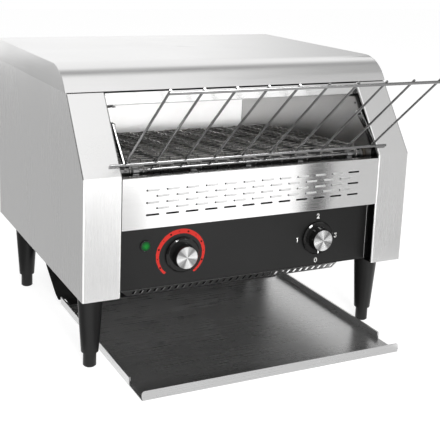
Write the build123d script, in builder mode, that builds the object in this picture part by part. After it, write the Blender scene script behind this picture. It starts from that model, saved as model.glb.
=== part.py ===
from build123d import *

import os
from math import acos, cos, degrees, hypot, radians, sin

# Conveyor toaster. X runs across the machine from its centre, +Y to the rear, +Z up.
# Depths are measured from the front plane of the casing and heights from the table.

# Casing
WIDTH = 478.0
DEPTH = 418.0
HEIGHT = 387.0
SHEET = 1.2
THIN = 1.0
FIT = 0.3
LEG_CLEARANCE_Z = 105.5
KINK_DROP = 125.0
PILLAR_WIDTH = 50.0
RETURN_DEPTH = 17.0
FOLD_R = 2.2
FOLD_LIMIT = 1.9
RELIEF = 0.6
EDGE = 0.01
FLANGE = 12.0
SCREW_R = 1.9
SCREW_HEAD_R = 3.5
SCREW_HEAD_H = 2.0
SCREW_LENGTH = 9.0
SCREW_CLEARANCE = 0.2
SCREW_GAP = 0.1
SCREW_INSET_Z = 7.0
SCREW_INSET_X = 37.5
SCREW_COLUMNS = 5

# Top cover
LID_R = 57.0
LID_FLAT_D = 119.0
LID_EDGE_DROP = 32.0
LID_FOLD_R = 1.0
FOLD_SHARE = 0.8

# Rear vents
VENT_COLUMNS = 12
VENT_PITCH = 11.0
VENT_HEIGHT = 50.0
VENT_WIDTH = 4.0
VENT_X = 110.0
VENT_INSET_TOP = 85.5
VENT_INSET_BASE = 91.8

# Louvre panel
LOUVRE_SETDOWN = 4.0
LOUVRE_HEIGHT = 65.5
SLOT_LENGTH = 18.0
SLOT_HEIGHT = 2.4
SLOT_PITCH_X = 27.0
SLOT_PITCH_Z = 7.85
SLOT_INSET_Z = 16.6
SLOT_ROWS = 5
SLOTS_IN_LONG_ROW = 12

# Control panel and its guard
PANEL_D = 17.0
PANEL_OVERLAP = 12.5
GUARD_LEFT_INSET = 7.7
GUARD_RIGHT_INSET = 46.2
GUARD_DROP = 12.0
GUARD_FLANGE = 24.0
GUARD_PITCH = 10.0
GUARD_SLOT_WIDTH = 4.6
GUARD_SLOT_LENGTH = 11.5
GUARD_CORNER = 14.0
GUARD_END = 13.5

# Header above the feed opening
HEADER_HEIGHT = 17.0
HEADER_GAP = 1.0
HEADER_FLANGE = 14.0
HEADER_HEM = 8.0

# Toasting chamber
SHIELD_DROP = 54.0
CHAMBER_DROP = 2.0
LINER_INSET = 20.0
LINER_BEND_DROP = 47.0
LINER_BEND_R = 60.0
CHEEK_FRONT_D = 18.0
CHEEK_SETBACK = 5.0
LIP_GAP = 2.0

# Discharge chute: an outlet in the base, a steep run, a shallow run and a flat tongue
OUTLET_INSET = 37.5
CHUTE_INSET = 50.5
CHUTE_KNEE_INSET = 20.7
CHUTE_KNEE_Z = 46.4
CHUTE_TOE_INSET = 89.5
CHUTE_TOE_LENGTH = 33.0
CHUTE_KNEE_R = 60.0
CHUTE_TOE_R = 50.0
CHUTE_HEM_R = 2.5
TONGUE_GAP = 8.0
TONGUE_LENGTH = 24.0

# Tray
TRAY_INSET = 50.6
TRAY_FRONT_D = -74.0
TRAY_WALL_SETBACK = 43.4
TRAY_OVERLAP = 13.5
TRAY_FLOOR_Z = 3.0
TRAY_WALL_H = 10.5
TRAY_LIP_H = 12.3
TRAY_HEM = 2.4
TRAY_HEM_DROP = 5.0
TRAY_CORNER_R = 4.0
TRAY_FOOT_R = 6.0
TRAY_FOOT_INSET = 24.0

# Conveyor
BELT_FRONT_D = 24.0
BELT_LIFT = 10.0
DRIVE_INSET = 115.0
BELT_SLOPE = 0.075
BELT_R = 16.0
BELT_THICKNESS = 2.4
BELT_GAP = 9.4
BELT_COLUMNS = 8
BELT_ROWS = 12
BELT_BAR = 3.5
SHAFT_R = 5.0
SHAFT_GAP = 27.5
RUNNING = 0.05
KEYED = 0.02
BUSH_R = 8.0
BUSH_FLANGE_R = 11.0
BUSH_FLANGE_H = 2.9
BUSH_REACH = 6.3
COLLAR_R = 9.0
COLLAR_WIDTH = 3.2
SPROCKET_GAP = 0.4
SPROCKET_WIDTH = 8.0
SPROCKET_PITCH = 80.0
SPROCKETS = 5
SPROCKET_NOTCHES = 10
NOTCH_SHARE = 0.16
RAIL_THICKNESS = 3.0
RAIL_HEIGHT = 5.5
RAIL_PITCH = 120.0
RAIL_SETBACK = 20.0
RAIL_ROD_SETBACK = 24.0
RAIL_ROD_R = 3.0

# Heaters
TUBE_R = 5.5
TUBE_GAP = 0.1
TUBE_CEILING = 11.5
UPPER_TUBE_SETBACK = 36.0
UPPER_TUBE_PITCH = 47.0
CAP_R = 9.0
CAP_NECK_R = 7.8
CAP_NECK = 1.2
CAP_BODY = 23.0
CAP_END = 3.0
GUARD_WIRE_R = 1.5
GUARD_WIRE_GAP = 1.0
GUARD_WIRE_PITCH = 45.0
GUARD_WIRES = 7
GUARD_WIRE_REACH = 10.0
GUARD_ROD_SETBACK = 7.0

# Drive
MOTOR_INSET = 55.5
MOTOR_LIFT = 51.8
MOTOR_SHAFT_R = 4.0
MOTOR_R = 28.0
MOTOR_LENGTH = 58.0
GEARBOX_SIDE = 58.0
GEARBOX_LENGTH = 27.5
GEARBOX_INSET = 11.2
GEARBOX_WALL = 7.5
BRACKET_SHEET = 2.5
BRACKET_HOLE_R = 10.0
BRACKET_FOOT = 12.0
CHAIN_OUTSET = 16.3
CHAIN_WIDTH = 6.0
CHAIN_DEPTH = 4.0
CHAIN_GAP = 0.4
DRIVE_SPROCKET_R = 18.0
DRIVE_TEETH = 18
MOTOR_SPROCKET_R = 12.0
MOTOR_TEETH = 12
SHAFT_STUB = 2.0

# Fan
FAN_X = -60.0
FAN_D = 125.0
FAN_SIDE = 80.0
FAN_HEIGHT = 25.0
FAN_BORE_R = 38.0
FAN_TIP_R = 36.0
FAN_HUB_R = 15.0
FAN_PIN_R = 2.5
FAN_PIN_H = 15.0
FAN_SPIDER = 3.0
FAN_SPOKE = 4.0
FAN_BLADES = 7
FAN_GRILLE = (4.0, 60.0)
FAN_GRILLE_SLOTS = 7
FAN_GRILLE_PITCH = 9.0
FAN_BLADE_CHORD = 15.0
FAN_BLADE_SHEET = 1.6
FAN_BLADE_ANGLE = 35.0

# Controls
LAMP_INSET = 38.7
LAMP_LIFT = 55.8
SPEED_OFFSET = 51.2
SELECTOR_INSET = 82.3
KNOB_LIFT = 39.1
KNOB_SKIRT_R = 23.5
KNOB_SKIRT_H = 4.2
KNOB_BEVEL = 1.8
KNOB_GRIP_R = 16.5
KNOB_GRIP_TIP_R = 15.2
KNOB_GRIP_H = 10.5
KNOB_FLUTES = 24
KNOB_FLUTE_R = 1.0
KNOB_GAP = 0.8
KNOB_FACE = 1.5
KNOB_CAP_RIM = 0.6
KNOB_CAP_H = 0.9
KNOB_CAP_BEVEL = 0.3
SPINDLE_R = 3.0
SPINDLE_REAR = 15.0
SPINDLE_END = 0.5
SWITCH_SIDE = 34.0
SWITCH_LENGTH = 24.0
SWITCH_TAG = (6.0, 8.0, 1.0)
SWITCH_TAG_PITCH = 10.0
CONTROL_R = 12.0
CONTROL_LENGTH = 18.0
CONTROL_TAG = (16.0, 2.0, 20.0)
LAMP_FLANGE_R = 7.8
LAMP_FLANGE_H = 1.2
LAMP_BARREL_R = 6.6
LAMP_BARREL_LENGTH = 24.0
LAMP_WALL = 0.6
LAMP_GAP = 0.1
LENS_DEPTH = 2.0
LENS_DOME_H = 1.5

# Wiring pieces
TERMINAL_SIZE = (70.0, 24.0, 20.0)
TERMINAL_AT = (-155.0, -53.5)
TERMINAL_GRID = (4, 2)
TERMINAL_PITCH = (14.0, 12.0)
TERMINAL_HOLE_R = 3.0
TERMINAL_HOLE_DEPTH = 4.0
BOARD_SIZE = (90.0, 60.0, 1.6)
BOARD_AT = (40.0, 100.0)
BOARD_LIFT = 8.0
BOARD_POST_R = 2.5
BOARD_POST_INSET = 5.0
COIL_SIZE = (25.0, 22.0, 14.4)
COIL_OFFSET = (-22.5, -11.0)
RELAY_SIZE = (18.0, 12.0, 8.4)
RELAY_OFFSET = (7.0, -14.0)
CAN_R = 6.0
CAN_H = 18.4
CAN_OFFSET = (28.0, 10.0)

# Cable gland
GLAND_INSET = 87.5
GLAND_LIFT = 21.8
GLAND_NUT_R = 11.0
GLAND_NUT_H = 5.0
GLAND_LOCKNUT_H = 4.0
GLAND_DOME_H = 10.0
GLAND_DOME_R = (9.0, 6.0)
GLAND_BORE_R = 4.0
GLAND_THREAD_R = 8.0
GLAND_THREAD_REACH = 9.0

# Legs and feet
LEG_INSET = 26.0
LEG_FRONT_D = 46.0
LEG_REAR_INSET = 66.0
LEG_TOP_R = 17.0
LEG_BOTTOM_R = 11.5
LEG_FLANGE_R = 20.0
LEG_FLANGE_H = 3.0
LEG_STUD_H = 12.0
FOOT_R = 8.75
FOOT_H = 20.0
FOOT_STUD_R = 4.0
FOOT_STUD_H = 40.0
FOOT_STUD_GAP = 2.0
FOOT_CHAMFER = 1.5

# Feed rack
PEG_D = 49.0
PEG_LIFT = 52.0
PEG_R = 2.0
PEG_HEAD_R = 3.6
PEG_HEAD_H = 2.5
PEG_NUT_R = 4.0
PEG_NUT_H = 3.0
PEG_END = 4.0
FIXING_HOLE_AT = (14.0, 11.0)
FIXING_HOLE_R = 2.0
ROD_R = 1.9
WIRE_R = 1.5
RACK_WIRES = 10
RACK_WIRE_INSET = 5.4
RACK_ROD_REACH = 14.0
RACK_TOP_INSET = 3.4
RACK_LOW_INSET = 38.4
RACK_REST = 13.4
RACK_TOP_D = -120.28
RACK_TOP_DROP = 5.05
RACK_LOW_OFFSET = 18.0
RACK_TIP = 2.0
WELD = 0.4
STAY_THICKNESS = 1.6
STAY_INSET = 1.2
STAY_EYE_R = 5.0
STAY_END_R = 2.6

# Heights, from the top down and from the base up
BASE_Z = LEG_CLEARANCE_Z
KINK_Z = HEIGHT - KINK_DROP
LID_EDGE_Z = HEIGHT - LID_EDGE_DROP
HEADER_BOTTOM_Z = LID_EDGE_Z - HEADER_HEIGHT
CHAMBER_TOP_Z = HEADER_BOTTOM_Z - CHAMBER_DROP
LOUVRE_TOP_Z = KINK_Z - LOUVRE_SETDOWN
LOUVRE_BOTTOM_Z = LOUVRE_TOP_Z - LOUVRE_HEIGHT
SLOT_TOP_Z = LOUVRE_TOP_Z - SLOT_INSET_Z
PANEL_TOP_Z = LOUVRE_BOTTOM_Z + PANEL_OVERLAP
SHIELD_Z = KINK_Z - SHIELD_DROP
LINER_BEND_Z = KINK_Z - LINER_BEND_DROP
BASE_TOP = BASE_Z + 2 * SHEET + FIT
BASE_UNDER = BASE_TOP - SHEET
BODY_TOP = HEIGHT - SHEET - FIT
TRAY_WALL_Z = TRAY_FLOOR_Z + TRAY_WALL_H
TRAY_LIP_Z = TRAY_FLOOR_Z + TRAY_LIP_H
CHUTE_Z = TRAY_FLOOR_Z + THIN + FIT
LEG_TOP_Z = BASE_Z - FIT

# Widths, from the casing inwards
HALF = WIDTH / 2
LID_HALF = HALF + FIT + SHEET
PILLAR_INNER = HALF - PILLAR_WIDTH
CHEEK_OUT = PILLAR_INNER - FIT
CHEEK_IN = CHEEK_OUT - THIN
INSIDE = CHEEK_IN - FIT
REAR_HALF = HALF - SHEET - FIT
BASE_HALF = REAR_HALF - SHEET - FIT
BELT_HALF = INSIDE - BELT_GAP
CHUTE_HALF = HALF - CHUTE_INSET
TRAY_HALF = HALF - TRAY_INSET
TONGUE_HALF = TRAY_HALF - TRAY_HEM - TONGUE_GAP
BUSH_INNER = CHEEK_IN - FIT - BUSH_FLANGE_H
BUSH_OUTER = CHEEK_OUT + BUSH_REACH
CAP_INNER = CHEEK_IN - CAP_NECK
CAP_OUTER = CHEEK_OUT + FIT + CAP_BODY
STAY_X = (INSIDE - STAY_INSET - STAY_THICKNESS, INSIDE - STAY_INSET)
RACK_WIRE_SPAN = 2 * (INSIDE - RACK_WIRE_INSET)
RACK_ROD_HALF = PILLAR_INNER + RACK_ROD_REACH
RACK_TOP_HALF = INSIDE - RACK_TOP_INSET
RACK_LOW_HALF = INSIDE - RACK_LOW_INSET
GEARBOX_X = (CHEEK_OUT - GEARBOX_INSET - GEARBOX_LENGTH, CHEEK_OUT - GEARBOX_INSET)
MOTOR_X = (GEARBOX_X[0] - MOTOR_LENGTH, GEARBOX_X[0])
BRACKET_X = (GEARBOX_X[1] + FIT, GEARBOX_X[1] + FIT + BRACKET_SHEET)
CHAIN_X = CHEEK_OUT + CHAIN_OUTSET
SHAFT_END_X = CHAIN_X + CHAIN_WIDTH / 2 + SHAFT_STUB
IDLER_END_X = BUSH_OUTER + SHAFT_STUB
LEG_X = HALF - LEG_INSET
GUARD_LEFT = CHEEK_OUT - GUARD_LEFT_INSET
GUARD_RIGHT = CHEEK_OUT - GUARD_RIGHT_INSET
GUARD_SLOTS = int((GUARD_LEFT + GUARD_RIGHT - GUARD_END) / GUARD_PITCH)
GLAND_X = REAR_HALF - GLAND_INSET
SCREW_SPAN = REAR_HALF - SCREW_INSET_X

# Depths, from the front and from the rear
BODY_REAR = DEPTH - SHEET - FIT
REAR_FRONT_D = BODY_REAR - SHEET
LINER_D = DEPTH - LINER_INSET
IDLER_D = BELT_FRONT_D + BELT_R
DRIVE_D = LINER_D - DRIVE_INSET
SHAFT_FRONT_D = DRIVE_D - SHAFT_GAP
MOTOR_D = SHAFT_FRONT_D - MOTOR_INSET
OUTLET_FRONT_D = SHAFT_FRONT_D + FIT
OUTLET_REAR_D = LINER_D - OUTLET_INSET
CHUTE_KNEE = (OUTLET_REAR_D - CHUTE_KNEE_INSET, CHUTE_KNEE_Z)
CHUTE_TOE_D = OUTLET_REAR_D - CHUTE_TOE_INSET
CHUTE_END_D = CHUTE_TOE_D - CHUTE_TOE_LENGTH
TONGUE_D = CHUTE_END_D + TONGUE_LENGTH
TRAY_REAR_D = CHUTE_END_D + TRAY_OVERLAP
TRAY_WALL_FRONT_D = TRAY_FRONT_D + TRAY_WALL_SETBACK
LEG_D = (LEG_FRONT_D, DEPTH - LEG_REAR_INSET)
PANEL_BACK_D = PANEL_D + SHEET
BASE_FRONT_D = RETURN_DEPTH + FIT
BASE_REAR_D = REAR_FRONT_D - FIT
GLAND_TIP_D = DEPTH + GLAND_NUT_H + GLAND_DOME_H

# Front slant and lid
LID_SWEEP = degrees(acos((LID_EDGE_Z - HEIGHT + LID_R) / LID_R))
LID_CENTRE_Z = HEIGHT - LID_R
LID_FRONT_D = LID_FLAT_D - LID_R * sin(radians(LID_SWEEP))
PILLAR_TOP = (LID_FRONT_D - SHEET - 2 * FIT, LID_EDGE_Z - FIT - 0.7)
SLANT_LENGTH = hypot(PILLAR_TOP[0], PILLAR_TOP[1] - KINK_Z)
SLANT = (PILLAR_TOP[0] / SLANT_LENGTH, (PILLAR_TOP[1] - KINK_Z) / SLANT_LENGTH)

# Conveyor and controls
IDLER_Z = KINK_Z + BELT_LIFT - BELT_R
DRIVE_Z = IDLER_Z - BELT_SLOPE * (DRIVE_D - IDLER_D)
BELT_INNER_R = BELT_R - BELT_THICKNESS
SPROCKET_R = BELT_INNER_R - SPROCKET_GAP
RAIL_ENDS = (IDLER_D + RAIL_SETBACK, DRIVE_D - RAIL_SETBACK)
RAIL_ROD_D = (IDLER_D + RAIL_ROD_SETBACK, DRIVE_D - RAIL_ROD_SETBACK)
MOTOR_Z = BASE_TOP + MOTOR_LIFT
UPPER_TUBE_Z = CHAMBER_TOP_Z - TUBE_CEILING
UPPER_TUBES_D = DRIVE_D - UPPER_TUBE_SETBACK
LOWER_TUBES_D = (IDLER_D + DRIVE_D) / 2
LOWER_TUBE_PITCH = (DRIVE_D - IDLER_D) / 4
KNOB_Z = BASE_TOP + KNOB_LIFT
LAMP_X = -CHEEK_OUT + LAMP_INSET
LAMP_Z = BASE_TOP + LAMP_LIFT
LAMP_LENS_R = LAMP_BARREL_R - LAMP_WALL - LAMP_GAP
LAMP_FACE_D = PANEL_D - FIT - LAMP_FLANGE_H
SPEED_X = LAMP_X + SPEED_OFFSET
SELECTOR_X = CHEEK_OUT - SELECTOR_INSET
KNOB_CAP_R = KNOB_GRIP_TIP_R - KNOB_CAP_RIM
GLAND_Z = BASE_TOP + GLAND_LIFT

# Feed rack: it leans on the pillars with its foot rod and hangs on two stays
PEG_Z = KINK_Z + PEG_LIFT
FIXING_HOLE = (PEG_D + FIXING_HOLE_AT[0], PEG_Z + FIXING_HOLE_AT[1])
RACK_TOP = (RACK_TOP_D, HEIGHT - RACK_TOP_DROP)
RACK_ROD_OUT = ROD_R + FIT
RACK_FOOT = (
    SLANT[0] * RACK_REST - SLANT[1] * RACK_ROD_OUT,
    KINK_Z + SLANT[1] * RACK_REST + SLANT[0] * RACK_ROD_OUT,
)
RACK_LENGTH = hypot(RACK_TOP[0] - RACK_FOOT[0], RACK_TOP[1] - RACK_FOOT[1])
RACK_UP = ((RACK_TOP[0] - RACK_FOOT[0]) / RACK_LENGTH, (RACK_TOP[1] - RACK_FOOT[1]) / RACK_LENGTH)
RACK_IN = (RACK_UP[1], -RACK_UP[0])
WIRE_LIFT = ROD_R + WIRE_R - WELD
RACK_REACH_D = RACK_TOP[0] + RACK_IN[0] * WIRE_LIFT + RACK_UP[0] * RACK_TIP - WIRE_R * RACK_UP[1]
FRONT = -(RACK_REACH_D + GLAND_TIP_D) / 2


def front_plane(depth):
    """Upright plane facing the front at the given depth; its own axes are X and Z."""
    return Plane.XZ.offset(-(FRONT + depth))


def block(x, depth, z, mode=Mode.ADD):
    """Box between two limits on each axis."""
    middle = ((x[0] + x[1]) / 2, FRONT + (depth[0] + depth[1]) / 2, (z[0] + z[1]) / 2)
    with Locations(middle):
        Box(x[1] - x[0], depth[1] - depth[0], z[1] - z[0], mode=mode)


def rod_x(x, depth, z, radius, mode=Mode.ADD):
    """Round bar across the machine."""
    with Locations(Location(((x[0] + x[1]) / 2, FRONT + depth, z), (0, 90, 0))):
        Cylinder(radius, x[1] - x[0], mode=mode)


def rod_y(x, depth, z, radius, mode=Mode.ADD):
    """Round bar from front to rear."""
    with Locations(Location((x, FRONT + (depth[0] + depth[1]) / 2, z), (90, 0, 0))):
        Cylinder(radius, depth[1] - depth[0], mode=mode)


def rod_z(x, depth, z, radius, mode=Mode.ADD):
    """Upright round bar."""
    with Locations((x, FRONT + depth, (z[0] + z[1]) / 2)):
        Cylinder(radius, z[1] - z[0], mode=mode)


def slanted_rod(x, start, end, radius):
    """Round bar in an upright plane at x, between two points given as (depth, z)."""
    run = Vector(0, end[0] - start[0], end[1] - start[1])
    middle = Vector(x, FRONT + (start[0] + end[0]) / 2, (start[1] + end[1]) / 2)
    with Locations(Plane(origin=middle, x_dir=(1, 0, 0), z_dir=run.normalized()).location):
        Cylinder(radius, run.length)


def span(middle, size):
    """Two limits round a middle."""
    return (middle - size / 2, middle + size / 2)


def spread(count, half):
    """Evenly spaced positions from -half to half."""
    return [half * (2 * place / (count - 1) - 1) for place in range(count)]


def both(x, side):
    """The two limits |x| on the right side, or their mirror image on the left."""
    return (x[0], x[1]) if side > 0 else (-x[1], -x[0])


def offset_line(points, thickness):
    """Corners of the line that runs beside the given one, on the left of its direction."""
    normals = []
    for (d0, z0), (d1, z1) in zip(points, points[1:]):
        length = hypot(d1 - d0, z1 - z0)
        normals.append(((z0 - z1) / length, (d1 - d0) / length))
    before = [normals[0]] + normals
    after = normals + [normals[-1]]
    moved = []
    for (d, z), (ad, az), (bd, bz) in zip(points, before, after):
        share = thickness / (1 + ad * bd + az * bz)
        moved.append((d + share * (ad + bd), z + share * (az + bz)))
    return moved


def strip(points, thickness, x, radii=None):
    """Cut section of a folded sheet on the plane at x, with rounded folds where radii are given."""
    near = [(FRONT + d, z) for d, z in points]
    far = [(FRONT + d, z) for d, z in offset_line(points, thickness)]
    radii = radii or [0] * (len(points) - 2)
    inner = []
    for a, b, c, radius in zip(points, points[1:], points[2:], radii):
        turn = (b[0] - a[0]) * (c[1] - b[1]) - (b[1] - a[1]) * (c[0] - b[0])
        inner.append(0 if radius == 0 else radius - thickness if turn > 0 else radius + thickness)
    with BuildSketch(Plane.YZ.offset(x)) as section:
        with BuildLine():
            if len(points) > 2:
                FilletPolyline(*near, radius=radii)
                FilletPolyline(*far, radius=inner)
            else:
                Line(*near)
                Line(*far)
            Line(near[0], far[0])
            Line(near[-1], far[-1])
        make_face()
    return section.sketch


def loop_section(ends, radii, x):
    """Face round two circles and their common tangents, on the plane at x."""
    with BuildSketch(Plane.YZ.offset(x)) as section:
        for (d, z), radius in zip(ends, radii):
            with Locations((FRONT + d, z)):
                Circle(radius)
        make_hull()
    return section.sketch


def belt_z(depth):
    """Height of the plane midway between the two runs of the belt."""
    return IDLER_Z - BELT_SLOPE * (depth - IDLER_D)


def save(name, piece):
    """Label a finished piece and write it under its own name."""
    piece.part.label = name
    export_step(piece.part, f"parts/{name}.step")


os.makedirs("parts", exist_ok=True)
SCREW_HOLE_R = SCREW_R + SCREW_CLEARANCE
SHELF_Z = BASE_TOP + FIT
REAR_SCREWS_TOP = [(x, HEIGHT - SCREW_INSET_Z) for x in spread(SCREW_COLUMNS, SCREW_SPAN)]
REAR_SCREWS_BASE = [(x, BASE_TOP + SCREW_INSET_Z) for x in (-SCREW_SPAN, 0, SCREW_SPAN)]

# ---------------------------------------------------------------- top cover
LID_AXIS = (FRONT + LID_FLAT_D, LID_CENTRE_Z)
with BuildPart() as top_cover:
    with BuildSketch(Plane.YZ) as lid_section:
        with BuildLine():
            outer_arc = CenterArc(LID_AXIS, LID_R, 90, LID_SWEEP)
            inner_arc = CenterArc(LID_AXIS, LID_R - SHEET, 90, LID_SWEEP)
            Line(outer_arc @ 1, inner_arc @ 1)
            Polyline(
                outer_arc @ 0,
                (FRONT + DEPTH, HEIGHT),
                (FRONT + DEPTH, HEIGHT - FLANGE),
                (FRONT + DEPTH - SHEET, HEIGHT - FLANGE),
                (FRONT + DEPTH - SHEET, HEIGHT - SHEET),
                inner_arc @ 0,
            )
        make_face()
    extrude(amount=LID_HALF, both=True)
    for side in (-1, 1):
        wall = both((HALF + FIT, LID_HALF), side)
        with BuildSketch(Plane.YZ.offset(wall[0])) as lid_side:
            with BuildLine():
                edge_arc = CenterArc(LID_AXIS, LID_R, 90, LID_SWEEP)
                Polyline(
                    edge_arc @ 0,
                    (FRONT + DEPTH, HEIGHT),
                    (FRONT + DEPTH, LID_EDGE_Z),
                    edge_arc @ 1,
                )
            make_face()
        extrude(amount=wall[1] - wall[0])
    side_folds = []
    for edge in top_cover.edges():
        middle = edge.center()
        if abs(abs(middle.X) - LID_HALF) < EDGE and middle.Z > (LID_EDGE_Z + HEIGHT) / 2:
            side_folds.append(edge)
    fillet(side_folds, min(LID_FOLD_R, FOLD_SHARE * SHEET))
    for x, z in REAR_SCREWS_TOP:
        rod_y(x, (DEPTH - FLANGE, DEPTH + FLANGE), z, SCREW_HOLE_R, Mode.SUBTRACT)
save("top_cover", top_cover)

# ---------------------------------------------------------------- side panels with pillars
PILLAR_LINE = [(0, BASE_Z), (0, KINK_Z), PILLAR_TOP]


def on_pillar_front(point):
    """True for a point on the front face of the pillars, upright or slanted."""
    lean = SLANT[0] / SLANT[1] * max(point.Z - KINK_Z, 0)
    return abs(point.Y - FRONT - lean) < EDGE


def side_panel(side):
    """Side sheet, slanted front pillar, inner return and bottom flange, folded from one sheet."""
    sheet = both((HALF - SHEET, HALF), side)
    pillar = both((PILLAR_INNER, HALF), side)
    inner = both((PILLAR_INNER, PILLAR_INNER + SHEET), side)
    fold_r = min(FOLD_R, FOLD_LIMIT * SHEET)
    relief_depth = fold_r + RELIEF
    relief = (PILLAR_TOP[0] + SLANT[1] * relief_depth, PILLAR_TOP[1] - SLANT[0] * relief_depth)
    with BuildPart() as panel:
        with BuildSketch(Plane.YZ.offset(sheet[0])):
            with BuildLine():
                top_arc = CenterArc(LID_AXIS, LID_R - SHEET - FIT, 90, LID_SWEEP)
                Polyline(
                    top_arc @ 1,
                    (FRONT + relief[0], relief[1]),
                    (FRONT + PILLAR_TOP[0], PILLAR_TOP[1]),
                    (FRONT, KINK_Z),
                    (FRONT, BASE_Z),
                    (FRONT + BODY_REAR, BASE_Z),
                    (FRONT + BODY_REAR, BODY_TOP),
                    top_arc @ 0,
                )
            make_face()
        extrude(amount=SHEET)
        extrude(strip(PILLAR_LINE, -SHEET, pillar[0]), amount=PILLAR_WIDTH)
        extrude(strip(PILLAR_LINE, -RETURN_DEPTH, inner[0]), amount=SHEET)
        foot = both((HALF - SHEET - FLANGE, HALF - SHEET), side)
        block(foot, (0, BASE_REAR_D), (BASE_Z, BASE_Z + SHEET))
        folds = []
        for edge in panel.edges():
            ends = (edge @ 0, edge @ 1)
            reach = abs(ends[0].X)
            at_side = abs(reach - HALF) < EDGE or abs(reach - PILLAR_INNER) < EDGE
            upright = at_side and abs(ends[0].X - ends[1].X) < EDGE
            at_kink = max(abs(end.Z - KINK_Z) for end in ends) < EDGE
            in_front = on_pillar_front(ends[0]) and on_pillar_front(ends[1])
            if in_front and (upright or at_kink):
                folds.append(edge)
        fillet(folds, fold_r)
        rod_x(inner, PEG_D, PEG_Z, PEG_R + SCREW_CLEARANCE, Mode.SUBTRACT)
        rod_x(inner, *FIXING_HOLE, FIXING_HOLE_R, Mode.SUBTRACT)
    return panel


left_side_panel = side_panel(-1)
right_side_panel = side_panel(1)
save("left_side_panel", left_side_panel)
save("right_side_panel", right_side_panel)

# ---------------------------------------------------------------- rear panel
VENT_ROWS = (BODY_TOP - VENT_INSET_TOP, BASE_TOP + VENT_INSET_BASE)
with BuildPart() as rear_panel:
    block((-REAR_HALF, REAR_HALF), (REAR_FRONT_D, BODY_REAR), (BASE_Z, BODY_TOP))
    for side in (-1, 1):
        wall = both((REAR_HALF - SHEET, REAR_HALF), side)
        block(wall, (REAR_FRONT_D - FLANGE, REAR_FRONT_D), (SHELF_Z, BODY_TOP))
    with BuildSketch(front_plane(REAR_FRONT_D)):
        with Locations(*[(x, z) for x in (-VENT_X, VENT_X) for z in VENT_ROWS]):
            with GridLocations(VENT_PITCH, 0, VENT_COLUMNS, 1):
                SlotOverall(VENT_HEIGHT, VENT_WIDTH, rotation=90)
    extrude(amount=-SHEET, mode=Mode.SUBTRACT)
    for x, z in REAR_SCREWS_TOP + REAR_SCREWS_BASE:
        rod_y(x, (REAR_FRONT_D - SHEET, DEPTH), z, SCREW_HOLE_R, Mode.SUBTRACT)
    rod_y(GLAND_X, (REAR_FRONT_D - SHEET, DEPTH), GLAND_Z, GLAND_THREAD_R + FIT, Mode.SUBTRACT)
save("rear_panel", rear_panel)

# ---------------------------------------------------------------- base plate
with BuildPart() as base_plate:
    block((-BASE_HALF, BASE_HALF), (BASE_FRONT_D, BASE_REAR_D), (BASE_UNDER, BASE_TOP))
    block((-BASE_HALF, BASE_HALF), (BASE_REAR_D - SHEET, BASE_REAR_D), (BASE_TOP, BASE_TOP + FLANGE))
    outlet = (-CHUTE_HALF, CHUTE_HALF)
    block(outlet, (OUTLET_FRONT_D, OUTLET_REAR_D), (BASE_UNDER, BASE_TOP), Mode.SUBTRACT)
    for leg_x in (-LEG_X, LEG_X):
        for leg_d in LEG_D:
            rod_z(leg_x, leg_d, (BASE_Z, BASE_TOP), FOOT_STUD_R + FIT, Mode.SUBTRACT)
    with Locations((FAN_X, FRONT + FAN_D, BASE_TOP)):
        with GridLocations(FAN_GRILLE_PITCH, 0, FAN_GRILLE_SLOTS, 1):
            Box(*FAN_GRILLE, 3 * SHEET, mode=Mode.SUBTRACT)
    for x, z in REAR_SCREWS_BASE:
        rod_y(x, (BASE_REAR_D - 2 * SHEET, DEPTH), z, SCREW_HOLE_R, Mode.SUBTRACT)
save("base_plate", base_plate)

# ---------------------------------------------------------------- chamber sheets
SHIELD_FRONT_D = CHEEK_FRONT_D + THIN
with BuildPart() as heat_shield:
    fold = [
        (SHIELD_FRONT_D, SHIELD_Z + FIT),
        (SHAFT_FRONT_D, SHIELD_Z + FIT),
        (SHAFT_FRONT_D, SHELF_Z),
    ]
    extrude(strip(fold, THIN, -INSIDE), amount=2 * INSIDE)
save("heat_shield", heat_shield)

UPPER_TUBES = []
LOWER_TUBES = []
for place in (-1, 0, 1):
    UPPER_TUBES.append((UPPER_TUBES_D + place * UPPER_TUBE_PITCH, UPPER_TUBE_Z))
    lower_d = LOWER_TUBES_D + place * LOWER_TUBE_PITCH
    LOWER_TUBES.append((lower_d, belt_z(lower_d)))


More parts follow.
